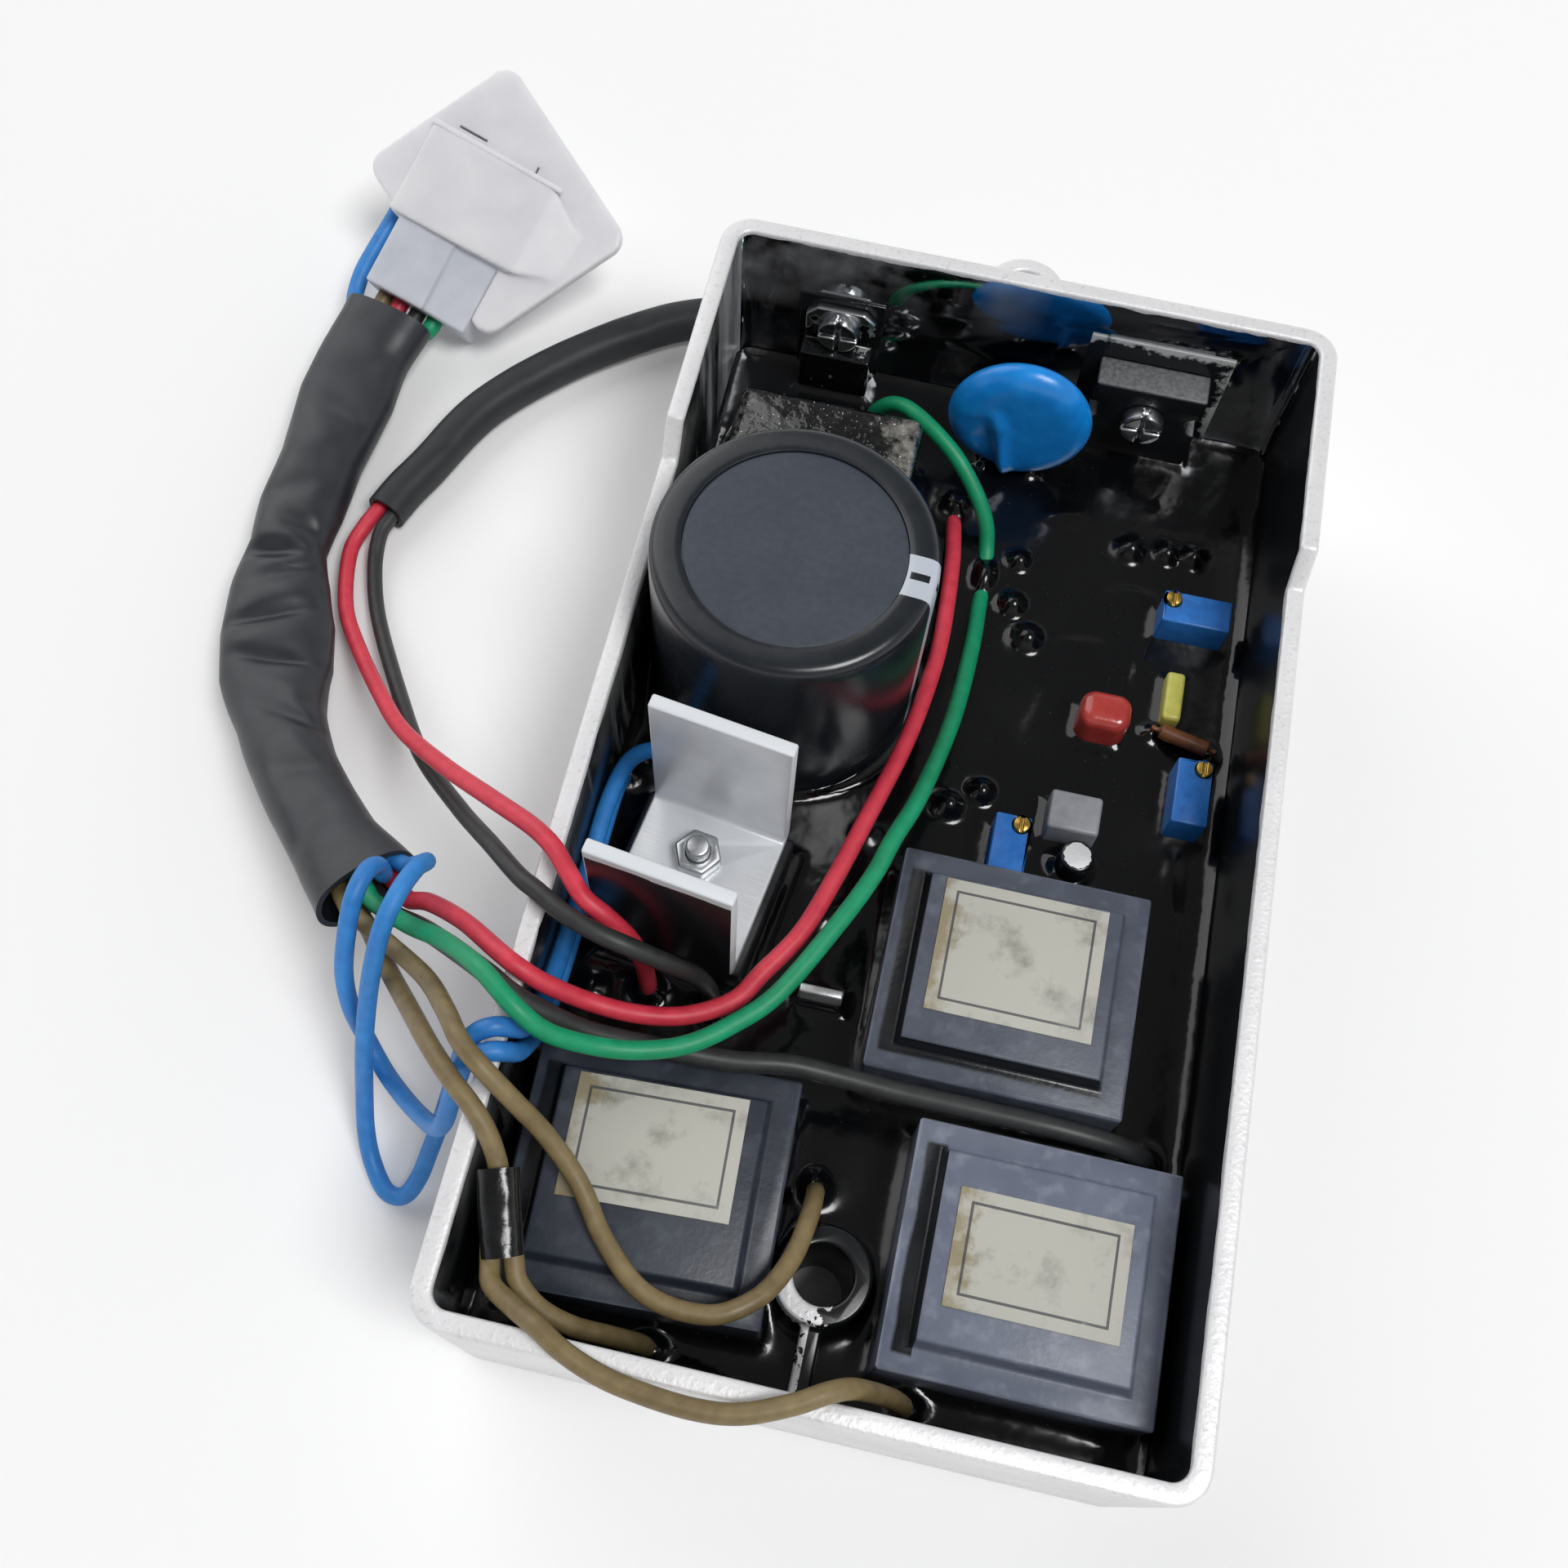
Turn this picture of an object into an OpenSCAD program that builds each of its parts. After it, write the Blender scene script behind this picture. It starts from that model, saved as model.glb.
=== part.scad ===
// Potted automatic voltage regulator in a cast aluminium tray, with its leads and plug.
// Sizes are in millimetres. Origin: centre of the tray's underside, +Y to the tall wall, +Z up.

/* [Tray] */
// Outside width of the tray
case_w = 86; // [85:0.5:104]
// Outside length of the tray
case_l = 151; // [150:0.5:180]
// Wall thickness
wall = 2.4; // [2:0.1:2.8]
// Floor thickness
floor_t = 3; // [2.5:0.1:3.5]
// Height of the low rim
rim_low = 34; // [33:0.5:36]
// Height of the tall rim round the far end
rim_high = 38.5; // [37:0.5:44]
// Outside corner radius
corner_r = 4.5; // [3:0.1:6]
// Length of the tall rim from the far outside face
tall_len = 35.5; // [30:0.5:40]
// Run of the slope between the two rims
slope_run = 3.5; // [2:0.5:6]

/* [Mounting] */
// Radius of the mounting holes
hole_r = 3.5; // [2.5:0.1:4]
// Radius of the near boss and of the far ear
boss_r = 5.75; // [5.2:0.05:6.2]
// Height of the near boss
boss_top = 20; // [17:0.5:22]
// Distance of the near hole from the near outside face
boss_in = 16.5; // [15:0.5:18]
// Height of the far ear
ear_top = 29; // [20:0.5:33]
// Distance of the far hole beyond the far outside face
ear_out = 5.5; // [5:0.5:8]
// Thickness of the rib between boss and near wall
rib_t = 2.5; // [1.5:0.1:4]
// Height of that rib
rib_top = 17; // [14:0.5:19]

/* [Resin and board] */
// Level of the potting resin
resin_top = 13; // [12:0.25:14]
// Height of the standoffs under the board
standoff_h = 4; // [3:0.1:4.5]
// Thickness of the board
board_t = 1.6; // [1.2:0.1:2]
// Gap between the board and the walls
board_gap = 1.5; // [1:0.1:2]
// Radius of the small machine screws
screw_r = 1.5; // [1.25:0.05:1.6]
// Height of the screw heads
head_h = 2.2; // [1.6:0.1:2.4]
// Radial clearance of a screw in its own hole
screw_clear = 0.05; // [0.02:0.01:0.1]

/* [Main capacitor] */
// Outside radius of the sleeve
can_r = 17.8; // [16:0.1:18.2]
// Height of the sleeve's top above the tray's underside
can_top = 47.2; // [40:0.1:52]
// Thickness of the shrunk sleeve
sleeve_t = 0.5; // [0.3:0.05:0.8]
// Radius of the open ring in the sleeve's top
ring_r = 13.7; // [12:0.1:14.5]

/* [Rectifier and heat sink] */
// Side of the square rectifier
rect_w = 20; // [16:0.5:20]
// Height of the heat sink's underside
sink_base = 19.2; // [17:0.1:20]
// Width of the heat sink
sink_w = 18; // [16:0.5:19]
// Depth of the heat sink over both flanges
sink_d = 21; // [19:0.5:21.5]
// Sheet thickness of the heat sink
sink_t = 1.8; // [1.2:0.1:2.2]
// Height of the flanges' top edges
sink_top = 46.5; // [38:0.5:50]
// Turn of the heat sink in plan, degrees
sink_turn = -8; // [-10:0.5:-4]

/* [Transformers] */
// Width of a transformer case
xf_w = 31.3; // [30:0.1:31.6]
// Depth of a transformer case
xf_d = 28.6; // [27:0.1:28.8]
// Height of the case's shoulder
xf_shoulder = 24; // [22.5:0.1:24.2]
// Height of the case's flat top
xf_top = 26.5; // [24.5:0.1:26.7]
// Inset of the raised panel's flat top from the sides
xf_slope = 3.6; // [2:0.1:5]
// Run of the raised panel's steep sides
xf_draft = 0.5; // [0.2:0.1:1]
// Wall of a transformer case
xf_wall = 1.5; // [1:0.1:1.8]
// Thickness of a label
label_t = 0.2; // [0.1:0.05:0.3]

/* [Trimmers] */
// Length of a trimmer
trim_l = 9.53; // [9:0.01:10]
// Width of a trimmer
trim_w = 4.83; // [4.4:0.01:5]
// Height of a trimmer above the board
trim_h = 10; // [8:0.1:11]
// Radius of the adjusting screw
trim_screw_r = 1.1; // [0.9:0.05:1.2]
// Running clearance round the adjusting screw
trim_clear = 0.05; // [0.02:0.01:0.1]

/* [Power devices] */
// Thickness of the insulating pads
pad_t = 0.3; // [0.2:0.05:0.5]
// Width of the large transistor
big_w = 16; // [15:0.1:16.5]
// Thickness of the large transistor
big_t = 5; // [4.5:0.1:5.3]
// Top of the large transistor
big_top = 28; // [26:0.1:30]
// Width of the small transistor
small_w = 10.4; // [9.8:0.1:10.8]
// Top of the small transistor's tab
small_top = 27.4; // [26:0.1:29]
// Diameter of the varistor
disc_d = 20.6; // [18:0.1:21]
// Thickness of the varistor
disc_t = 5; // [4:0.1:5.5]

/* [Leads] */
// Diameter of the insulated leads
wire_d = 2.3; // [2:0.05:2.35]
// Diameter of the sleeved black lead
sleeved_d = 2.6; // [2.3:0.05:2.7]
// Width of the flat sleeve
flat_w = 14; // [13:0.1:14.5]
// Thickness of the flat sleeve
flat_t = 8; // [7:0.1:8.4]
// Diameter of the round sleeve
round_d = 6; // [5:0.1:6.2]

/* [Hidden] */
$fn = 64;
eps = 0.01;
slip = 0.05;

// Places follow the tray: they spread with its width and length.
sx = case_w / 86;
sy = case_l / 151;
half_w = case_w / 2;
half_l = case_l / 2;
in_x = half_w - wall;
in_y = half_l - wall;
in_r = corner_r - wall;
boss_y = boss_in - half_l;
ear_y = half_l + ear_out;
board_z = floor_t + standoff_h;
board_top = board_z + board_t;
head_r = screw_r + 1.25;
screw_spots = [[-35 * sx, -35 * sy], [36 * sx, -34 * sy], [-36 * sx, 62 * sy], [36 * sx, 62 * sy]];

can_gap = 1.3;
can_x = -(in_x - can_gap - can_r);
can_y = 19.2 * sy;
sink_x = -25.9 * sx;
sink_y = -15.25 * sy;
sink_bend = 2.5;
// The sink's screw sits a little far of its middle.
sink_screw = [-0.5, 2.5];
nut_af = 5.5;
nut_h = 2.4;

film_w = 26.3;
film_d = 16.5;
film_top = 27;
film_x = -23.15 * sx;
film_y = 48.25 * sy;

small_x = -25.2 * sx;
big_x = 20.5 * sx;
small_tab_t = 1.3;
small_body_t = 4.5;
small_body_top = 21;
small_screw_z = 24.3;
big_screw_z = 22.1;
device_bottom = board_top + 1;
pad_face = in_y - pad_t;
small_pad_w = 12.4;
small_pad_h = 19.5;
big_pad_w = 20.5;
big_pad_h = 22.7;
big_pad_left = 10.1;
pad_low = 0.5;

disc_x = 3 * sx;
disc_y = 62 * sy;
disc_z = resin_top + 11;
disc_lean = -4.5;

xf_1 = [23.1 * sx, -53.7 * sy];
xf_2 = [15.1 * sx, -20.5 * sy];
xf_3 = [-22 * sx, -53.5 * sy];
xf_turn_3 = 2.5;
label_w = 20;
label_1_d = 13.4;
label_2_w = 20.3;
label_2_d = 17;
label_3_d = 14.3;

trim_a = [32.7 * sx, 40 * sy];
trim_b = [35.2 * sx, 12.4 * sy];
// The third trimmer stands close behind a transformer.
trim_gap = 0.285;
trim_c = [12.6 * sx, xf_2[1] + xf_d / 2 + trim_gap + trim_l / 2];
trim_top = board_top + trim_h;
trim_screw_in = [3.5, 1.1];
trim_screw_up = 0.6;
trim_screw_down = 2;

// Wire routes, written for the nominal tray and spread with it.
function spread(pts) = [for (p = pts) [p[0] * sx, p[1] * sy,
  p[2] <= 30 ? p[2] : p[2] + (rim_low - 34) * min(1, (p[2] - 30) / 4)]];

RED_MAIN = spread([[-61.8, -24.8, 20.9], [-59.5, -26.7, 22.1], [-56, -27.5, 25.5], [-50, -30.5, 31],
  [-44.3, -34.2, 35.2], [-41.5, -35.7, 36], [-38, -36.5, 34], [-33, -36.5, 30.5], [-27.5, -36.3, 29.2],
  [-22, -35, 28.5], [-17, -32, 28.5], [-14.5, -28, 28.5], [-11, -22, 28.5], [-8.5, -14, 28],
  [-6, -4, 27], [-3.5, 7, 25], [-2, 18, 22], [-1.5, 27.5, 19.5], [-2, 41, 16], [-3, 50.5, 12.5],
  [-3.2, 53, 11]]);
GREEN = spread([[-64.9, -26.8, 23.5], [-62.7, -28.8, 24.7], [-57, -31.5, 28], [-51, -34, 33.5],
  [-45, -37.5, 38.4], [-40, -41, 39.2], [-36, -42.5, 36.5], [-31, -42, 33], [-26, -41, 31.5],
  [-21, -39, 30.8], [-16.5, -35.5, 30.5], [-12, -30.5, 30.5], [-7, -20.5, 30], [-4, -13, 29],
  [-2.5, -7.5, 28.5], [-0.5, -1, 27], [1.5, 9.5, 24], [2.5, 18.5, 20.5], [3, 29.5, 16], [3, 37, 13],
  [3, 42, 11.8], [2.5, 46.5, 13], [1.5, 49, 16], [-1, 51.5, 19.5], [-5, 54.8, 22.5], [-10.5, 58.5, 24],
  [-14.5, 61, 23], [-17.5, 62, 19], [-19, 62.5, 11]]);
BLACK_MAIN = spread([[-63.6, -26.9, 20.9], [-61.4, -28.9, 22.1], [-56, -30.5, 24], [-49.5, -34, 29.5],
  [-44.4, -37.2, 35.1], [-41.6, -38.8, 36.1], [-38, -39.6, 34], [-32.5, -39.8, 30], [-26, -39.3, 27.7],
  [-20, -38.9, 26.8], [-15, -38.4, 26], [-9, -37.2, 25.2], [-3, -37, 24.2], [4, -37.1, 23.6],
  [14, -37.1, 23.5], [24, -37.1, 23.3], [31, -37.1, 21.5], [35, -37, 17.5], [36, -36.8, 12]]);
RED_AUX = spread([[-88.4, 37.3, 3.3], [-89.3, 34.4, 3.3], [-90, 29.5, 3], [-87.5, 20.5, 3.5],
  [-82.5, 13, 6], [-75.5, 4.5, 11], [-69, -2.5, 17], [-60, -9.5, 25.5], [-51.5, -15, 32.5],
  [-44.5, -19, 36.5], [-41, -21.5, 37.8], [-38.6, -24, 38], [-36, -26.6, 37.6], [-33, -27.8, 36],
  [-30.5, -28.4, 32], [-29.2, -28.6, 26], [-28.8, -28.6, 19], [-28.8, -28.6, 11.5]]);
BLACK_AUX = spread([[-86.1, 36.5, 3.3], [-86.7, 33.5, 3], [-85.8, 28, 2.2], [-82.5, 20, 2.5],
  [-74, 6.5, 7.5], [-66.5, -4, 13.5], [-57, -13.5, 22], [-49.5, -20.5, 31], [-44.4, -25, 35.4],
  [-41.5, -26.8, 36.8], [-37.5, -29, 37.4], [-33, -30.4, 37.4], [-29, -30.8, 36], [-25, -30.6, 32.5],
  [-21.8, -29.8, 27], [-20.4, -29.2, 19], [-20.2, -29.2, 11.5]]);
BLUE_A = spread([[-63.2, -24.7, 23.8], [-63, -24.9, 27.2], [-63.3, -26.6, 29.8], [-63.8, -30, 29.8],
  [-64.2, -33.7, 26.5], [-64.4, -37.3, 21.5], [-63.6, -40.1, 16.8], [-62, -42.2, 12.3],
  [-57.9, -46.3, 11], [-52, -50.6, 15.5], [-47.4, -52.8, 22], [-45.6, -50, 29],
  [-44.1, -47.5, 35], [-41.9, -46.1, 36.1], [-40, -45.4, 35.3], [-39.3, -44.4, 32],
  [-39.4, -42.2, 27], [-39.4, -38.6, 21.8], [-39.3, -32, 18.6], [-39.3, -24, 17.7],
  [-39.3, -14, 17.4], [-39.3, -6, 17], [-39.3, -2, 15], [-39.3, 0, 11.5]]);
BLUE_B = spread([[-61.2, -22.8, 23.3], [-58.9, -23, 25.3], [-57.1, -23.5, 28.6], [-57.2, -25.7, 31.8],
  [-57.8, -29.5, 33.4], [-58.7, -33.6, 32], [-59.5, -37.8, 27.5], [-60.2, -41.4, 21.5],
  [-60.4, -45.2, 15.8], [-60.6, -48.4, 9.5], [-60, -52.5, 4.6], [-58.4, -55.9, 2.4],
  [-55.8, -58.8, 2], [-53.3, -58.9, 2.6], [-51.7, -56.6, 4.8], [-50.8, -53.4, 7.5],
  [-49.5, -50, 12.5], [-47.1, -47.4, 23.5], [-45, -45.4, 33], [-43.7, -44.2, 35.8],
  [-41.8, -43.2, 36.5], [-40.2, -42.6, 35.2], [-39.3, -41.6, 32.4], [-39.3, -38.8, 28.4],
  [-39.3, -35, 24.5], [-39.3, -28, 22], [-39.3, -18, 20.7], [-39.3, -8, 20.3], [-38.4, -1, 19],
  [-36.4, 3, 15.5], [-35.8, 4, 11.5]]);
BROWN_A = spread([[-65.6, -29.2, 20.9], [-63.4, -31.1, 22.1], [-58.5, -36.5, 24], [-53.5, -41.5, 29.5],
  [-48.5, -46.5, 34.5], [-44.6, -50, 36.3], [-42, -52, 36.3], [-39.6, -54.2, 35.2], [-37.6, -57.3, 33]]);
BROWN_C = spread([[-66.7, -29, 23.4], [-64.5, -30.9, 24.6], [-58, -34.5, 27.5], [-52, -38.3, 31.5],
  [-47.6, -42.6, 36.4], [-44.6, -46, 38.6], [-41.5, -48.3, 38.6], [-37.5, -50.6, 36], [-33.5, -52.8, 32],
  [-29, -56.5, 29], [-25, -61.5, 28.1], [-20.5, -65.5, 28.1], [-16.5, -67, 28], [-12, -67, 27.8],
  [-9, -65.8, 27.8], [-6, -63, 27], [-3.9, -58.5, 25.2], [-3, -53.5, 22.8], [-2.8, -50, 18.5],
  [-2.8, -48.5, 11.5]]);
BROWN_D = spread([[-33.4, -66.4, 30.8], [-32.4, -68.4, 30.2], [-29.8, -70.3, 28.8], [-26, -71.2, 26.5],
  [-22, -71, 22.5], [-19, -70.7, 17.5], [-18, -70.7, 11.5]]);
BROWN_E = spread([[-35.9, -67.1, 30.8], [-34.9, -69.4, 31.6], [-31.8, -71.2, 33.8], [-28.8, -72.6, 35.6],
  [-25.5, -74.4, 35.9], [-21.5, -75.8, 35.7], [-17, -76.6, 35.7], [-11, -77, 35.7], [-6, -76.4, 35.7],
  [-1, -74.4, 35.8], [2.5, -72.4, 35.5], [5.2, -71.3, 33], [9, -70.8, 26], [11.5, -70.7, 19],
  [12.5, -70.7, 11.5]]);
BROWN_JOINT = spread([[-37.5, -57.6, 33], [-36.3, -61.5, 32.3], [-34.7, -66.2, 31]]);
MAIN_SLEEVE = spread([[-96.8, 68.3, 6.6], [-98.2, 62.5, 5.5], [-98.6, 54.5, 5], [-98.5, 43.5, 5], [-98.5, 31.5, 5],
  [-97, 21, 5.5], [-93.5, 10.5, 7], [-89.5, 1, 9], [-82.5, -9.5, 13], [-72.5, -20, 18],
  [-65, -26.5, 22]]);
THIN_SLEEVE = spread([[-87, 37.5, 3.3], [-85.5, 42, 3.3], [-83.5, 46.5, 3.3], [-78, 59.5, 3.3],
  [-68.5, 71, 3.3], [-58, 80, 3.3], [-50.5, 84.5, 3.3], [-42, 87.2, 3.3], [-33, 88, 3.3]]);
PLUG_RED = spread([[-92, 66.9, 6.2], [-91.2, 69.2, 5.4], [-90.3, 71.1, 4.9], [-88.6, 76, 7]]);
PLUG_BLACK = spread([[-97.4, 67.9, 6.4], [-96.7, 70.4, 5.8], [-96, 72.6, 5.9], [-94.4, 77.4, 8]]);
PLUG_BLUE = spread([[-102.2, 69.3, 6.4], [-103.2, 73.4, 6.2], [-103, 77, 7.5], [-101.9, 80.5, 9],
  [-100.4, 85, 10.6], [-99, 89.1, 12.2]]);

// Plug: top-left rear corner, turn in plan, pitch and roll, then sizes in its own frame.
plug_at = [-100.6 * sx, 73.4 * sy, 11];
plug_turn = -14;
plug_pitch = 24;
plug_roll = 10;
rear_w = 17.3;
rear_l = 11.5;
rear_t = 8;
rear_step = 0.6;
rear_split = 10;
body_in = 1.5;
body_w = 21;
body_l = 14.4;
body_t = 4;
body_up = 1;
// The hood is a tapered box turned in the plug's own plane.
hood_mid = [12.2, 20.6];
hood_w = 33.3;
hood_l = 27.5;
hood_turn = -27.4;
hood_drop = 0.4;
hood_t = 9.2;
hood_lip = 2;
hood_taper = 3;
hood_r = 3;

// Sweep of a round or flat tube along a smooth curve through chosen points.
function unit(v) = v / norm(v);
function knot(p, i) = i < 0 ? 2 * p[0] - p[1]
  : i >= len(p) ? 2 * p[len(p) - 1] - p[len(p) - 2] : p[i];
function between(a, b, c, d, t) = 0.5 * (2 * b + (c - a) * t + (2 * a - 5 * b + 4 * c - d) * t * t
  + (3 * b - a - 3 * c + d) * t * t * t);
function smooth(p, n) = concat([for (i = [0 : len(p) - 2], k = [0 : n - 1])
  between(knot(p, i - 1), p[i], p[i + 1], knot(p, i + 2), k / n)], [p[len(p) - 1]]);
function heading(c, i) = unit(c[min(i + 1, len(c) - 1)] - c[max(i - 1, 0)]);
function square_to(v, t) = unit(v - (v * t) * t);
function first_side(t) = abs(t[2]) > 0.9 ? square_to([1, 0, 0], t) : square_to(cross(t, [0, 0, 1]), t);
function carried(c) = [for (i = 0, s = first_side(heading(c, 0)); i < len(c);
  i = i + 1, s = square_to(s, heading(c, min(i, len(c) - 1)))) s];
function level_sides(c) = [for (i = [0 : len(c) - 1]) square_to(cross(heading(c, i), [0, 0, 1]), heading(c, i))];
function rings(c, side, a, b, n) = [for (i = [0 : len(c) - 1], k = [0 : n - 1])
  c[i] + a * cos(360 * k / n) * side[i] + b * sin(360 * k / n) * cross(side[i], heading(c, i))];
function skin(m, n) = concat(
  [[for (k = [0 : n - 1]) k]],
  [for (i = [0 : m - 2], k = [0 : n - 1]) [i * n + k, (i + 1) * n + k, (i + 1) * n + (k + 1) % n]],
  [for (i = [0 : m - 2], k = [0 : n - 1]) [i * n + k, (i + 1) * n + (k + 1) % n, i * n + (k + 1) % n]],
  [[for (k = [n - 1 : -1 : 0]) (m - 1) * n + k]]);

module tube(p, d, n, steps) {
  c = smooth(p, steps);
  polyhedron(points = rings(c, carried(c), d / 2, d / 2, n), faces = skin(len(c), n));
}

module flat_tube(p, w, t, n, steps) {
  c = smooth(p, steps);
  polyhedron(points = rings(c, level_sides(c), w / 2, t / 2, n), faces = skin(len(c), n));
}

module rounded_plan(w, l, r) {
  square([w - 2 * r, l], center = true);
  square([w, l - 2 * r], center = true);
  for (i = [-1, 1], j = [-1, 1]) translate([i * (w / 2 - r), j * (l / 2 - r)]) circle(r = r);
}

module block(w, l, z0, z1) {
  translate([-w / 2, -l / 2, z0]) cube([w, l, z1 - z0]);
}

module post(r, z0, z1) {
  translate([0, 0, z0]) cylinder(r = r, h = z1 - z0);
}

module at(p) {
  translate([p[0], p[1], 0]) children();
}

// A rod along +Y from y0 to y1 at a given place and height.
module y_rod(x, z, r, y0, y1) {
  translate([x, y0, z]) rotate([-90, 0, 0]) cylinder(r = r, h = y1 - y0);
}

// The tray with its boss, rib, ear, standoffs and threaded holes.
module tray_outline() {
  intersection() {
    linear_extrude(height = rim_high) rounded_plan(case_w, case_l, corner_r);
    translate([-half_w, 0, 0]) rotate([90, 0, 90]) linear_extrude(height = case_w)
      polygon([[-half_l, 0], [half_l, 0], [half_l, rim_high], [half_l - tall_len, rim_high],
        [half_l - tall_len - slope_run, rim_low], [-half_l, rim_low]]);
  }
}

module boss_and_rib() {
  at([0, boss_y]) post(boss_r, 0, boss_top);
  translate([-rib_t / 2, -in_y - eps, 0]) cube([rib_t, boss_y + in_y, rib_top]);
}

module case() {
  color([0.84, 0.84, 0.86])
  difference() {
    union() {
      difference() {
        tray_outline();
        translate([0, 0, floor_t]) linear_extrude(height = rim_high)
          rounded_plan(2 * in_x, 2 * in_y, in_r);
      }
      boss_and_rib();
      at([0, ear_y]) post(boss_r, 0, ear_top);
      translate([-boss_r, half_l - wall / 2, 0]) cube([2 * boss_r, ear_out + wall / 2, ear_top]);
      for (s = screw_spots) at(s) post(head_r + 0.5, floor_t - eps, board_z);
    }
    at([0, boss_y]) post(hole_r, -1, boss_top + 1);
    at([0, ear_y]) post(hole_r, -1, ear_top + 1);
    for (s = screw_spots) at(s) post(screw_r + screw_clear, floor_t, board_z + 1);
    y_rod(small_x, small_screw_z, screw_r + screw_clear, in_y - 1, half_l + 1);
    y_rod(big_x, big_screw_z, screw_r + screw_clear, in_y - 1, half_l + 1);
  }
}

// The resin fills the tray to its level, round the board and everything that stands in it.
module potting() {
  color([0.05, 0.05, 0.06])
  difference() {
    translate([0, 0, floor_t]) linear_extrude(height = resin_top - floor_t)
      rounded_plan(2 * in_x, 2 * in_y, in_r);
    board_shape();
    boss_and_rib();
    for (s = screw_spots) at(s) {
      post(head_r + 0.5, floor_t - 1, board_z + eps);
      post(head_r, board_z - eps, board_top + head_h);
    }
    at([can_x, can_y]) post(can_r, board_top - eps, resin_top + 1);
    at_sink() block(rect_w, rect_w, board_top - eps, resin_top + 1);
    at([film_x, film_y]) block(film_w, film_d, board_top - eps, resin_top + 1);
    translate([small_x - small_w / 2, pad_face - small_body_t, board_top - eps])
      cube([small_w, small_body_t, resin_top]);
    translate([big_x - big_w / 2, pad_face - big_t, board_top - eps]) cube([big_w, big_t, resin_top]);
    pad_blocks(eps);
    varistor_shape();
    at([22.4 * sx, 21.9 * sy]) linear_extrude(height = resin_top + 1) rounded_plan(7, 5.5, 2);
    at([31.6 * sx, 27.65 * sy]) block(2.6, 7.5, board_top - eps, resin_top + 1);
    at_diode() for (i = [-1, 1]) translate([i * 4.4, 0, 0]) post(0.35, board_top - eps, resin_top + 1);
    at([20.45 * sx, 6.2 * sy]) block(6.9, 5.6, board_top - eps, resin_top + 1);
    at([21.6 * sx, 0.1 * sy]) post(2.3, board_top - eps, resin_top + 1);
    at([-7.2 * sx, -25 * sy]) block(5.6, 1.2, board_top - eps, resin_top + 1);
    at(trim_a) block(trim_l, trim_w, board_top - eps, resin_top + 1);
    at(trim_b) block(trim_w, trim_l, board_top - eps, resin_top + 1);
    at(trim_c) block(trim_w, trim_l, board_top - eps, resin_top + 1);
    at(xf_1) block(xf_w, xf_d, board_top - eps, resin_top + 1);
    at(xf_2) block(xf_w, xf_d, board_top - eps, resin_top + 1);
    at(xf_3) rotate(xf_turn_3) block(xf_w, xf_d, board_top - eps, resin_top + 1);
  }
}

module board_shape() {
  difference() {
    block(2 * (in_x - board_gap), 2 * (in_y - board_gap), board_z, board_top);
    at([0, boss_y]) post(boss_r + board_gap, board_z - 1, board_top + 1);
    translate([-rib_t / 2 - board_gap, -in_y, board_z - 1])
      cube([rib_t + 2 * board_gap, boss_y + in_y, board_t + 2]);
    for (i = [-1, 1], j = [-1, 1]) translate([i * in_x, j * in_y, board_z - 1])
      cylinder(r = board_gap + in_r, h = board_t + 2);
  }
}

module circuit_board() {
  color([0.1, 0.3, 0.16])
  difference() {
    board_shape();
    for (s = screw_spots) at(s) post(screw_r + screw_clear, board_z - 1, board_top + 1);
  }
}

module board_screws() {
  color([0.7, 0.7, 0.72])
  for (s = screw_spots) at(s) difference() {
    union() {
      post(head_r, board_top, board_top + head_h);
      post(screw_r, floor_t + 0.4, board_top + eps);
    }
    block(0.6, 2 * head_r + 1, board_top + head_h - 0.8, board_top + head_h + 1);
  }
}

module capacitor_can() {
  color([0.75, 0.76, 0.78])
  at([can_x, can_y]) post(can_r - sleeve_t - slip, board_top, can_top - 1);
}

module capacitor_sleeve() {
  color([0.2, 0.23, 0.26])
  at([can_x, can_y]) difference() {
    post(can_r, board_top, can_top);
    post(can_r - sleeve_t, board_top - 1, can_top - 1);
    post(ring_r, can_top - 2, can_top + 1);
  }
}

module capacitor_end_disc() {
  color([0.29, 0.31, 0.36])
  at([can_x, can_y]) post(ring_r - slip, can_top - 1, can_top - 0.4);
}

module at_sink() {
  at([sink_x, sink_y]) rotate(sink_turn) children();
}

module bridge_rectifier() {
  color([0.08, 0.08, 0.09])
  at_sink() difference() {
    block(rect_w, rect_w, board_top, sink_base);
    at(sink_screw) post(screw_r + screw_clear, board_top - 1, sink_base + 1);
  }
}

module channel_profile(inset, r, top) {
  low = sink_base + inset;
  half = sink_d / 2 - inset;
  translate([-half, low + r]) square([2 * half, top - low - r]);
  translate([-half + r, low]) square([2 * half - 2 * r, r + eps]);
  for (i = [-1, 1]) translate([i * (half - r), low + r]) circle(r = r);
}

module heat_sink() {
  color([0.78, 0.79, 0.81])
  at_sink() difference() {
    translate([-sink_w / 2, 0, 0]) rotate([90, 0, 90]) linear_extrude(height = sink_w) difference() {
      channel_profile(0, sink_bend, sink_top);
      channel_profile(sink_t, sink_bend - sink_t, sink_top + 1);
    }
    at(sink_screw) post(screw_r + screw_clear, sink_base - 1, sink_base + sink_t + 1);
  }
}

module heat_sink_screw() {
  color([0.7, 0.7, 0.72])
  at_sink() at(sink_screw) post(screw_r, board_top, sink_base + sink_t + nut_h + 2);
}

module heat_sink_nut() {
  color([0.72, 0.72, 0.74])
  at_sink() at(sink_screw) difference() {
    translate([0, 0, sink_base + sink_t]) cylinder(r = nut_af / 2 / cos(30), h = nut_h, $fn = 6);
    post(screw_r + screw_clear, sink_base, sink_base + sink_t + nut_h + 1);
  }
}

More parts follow.
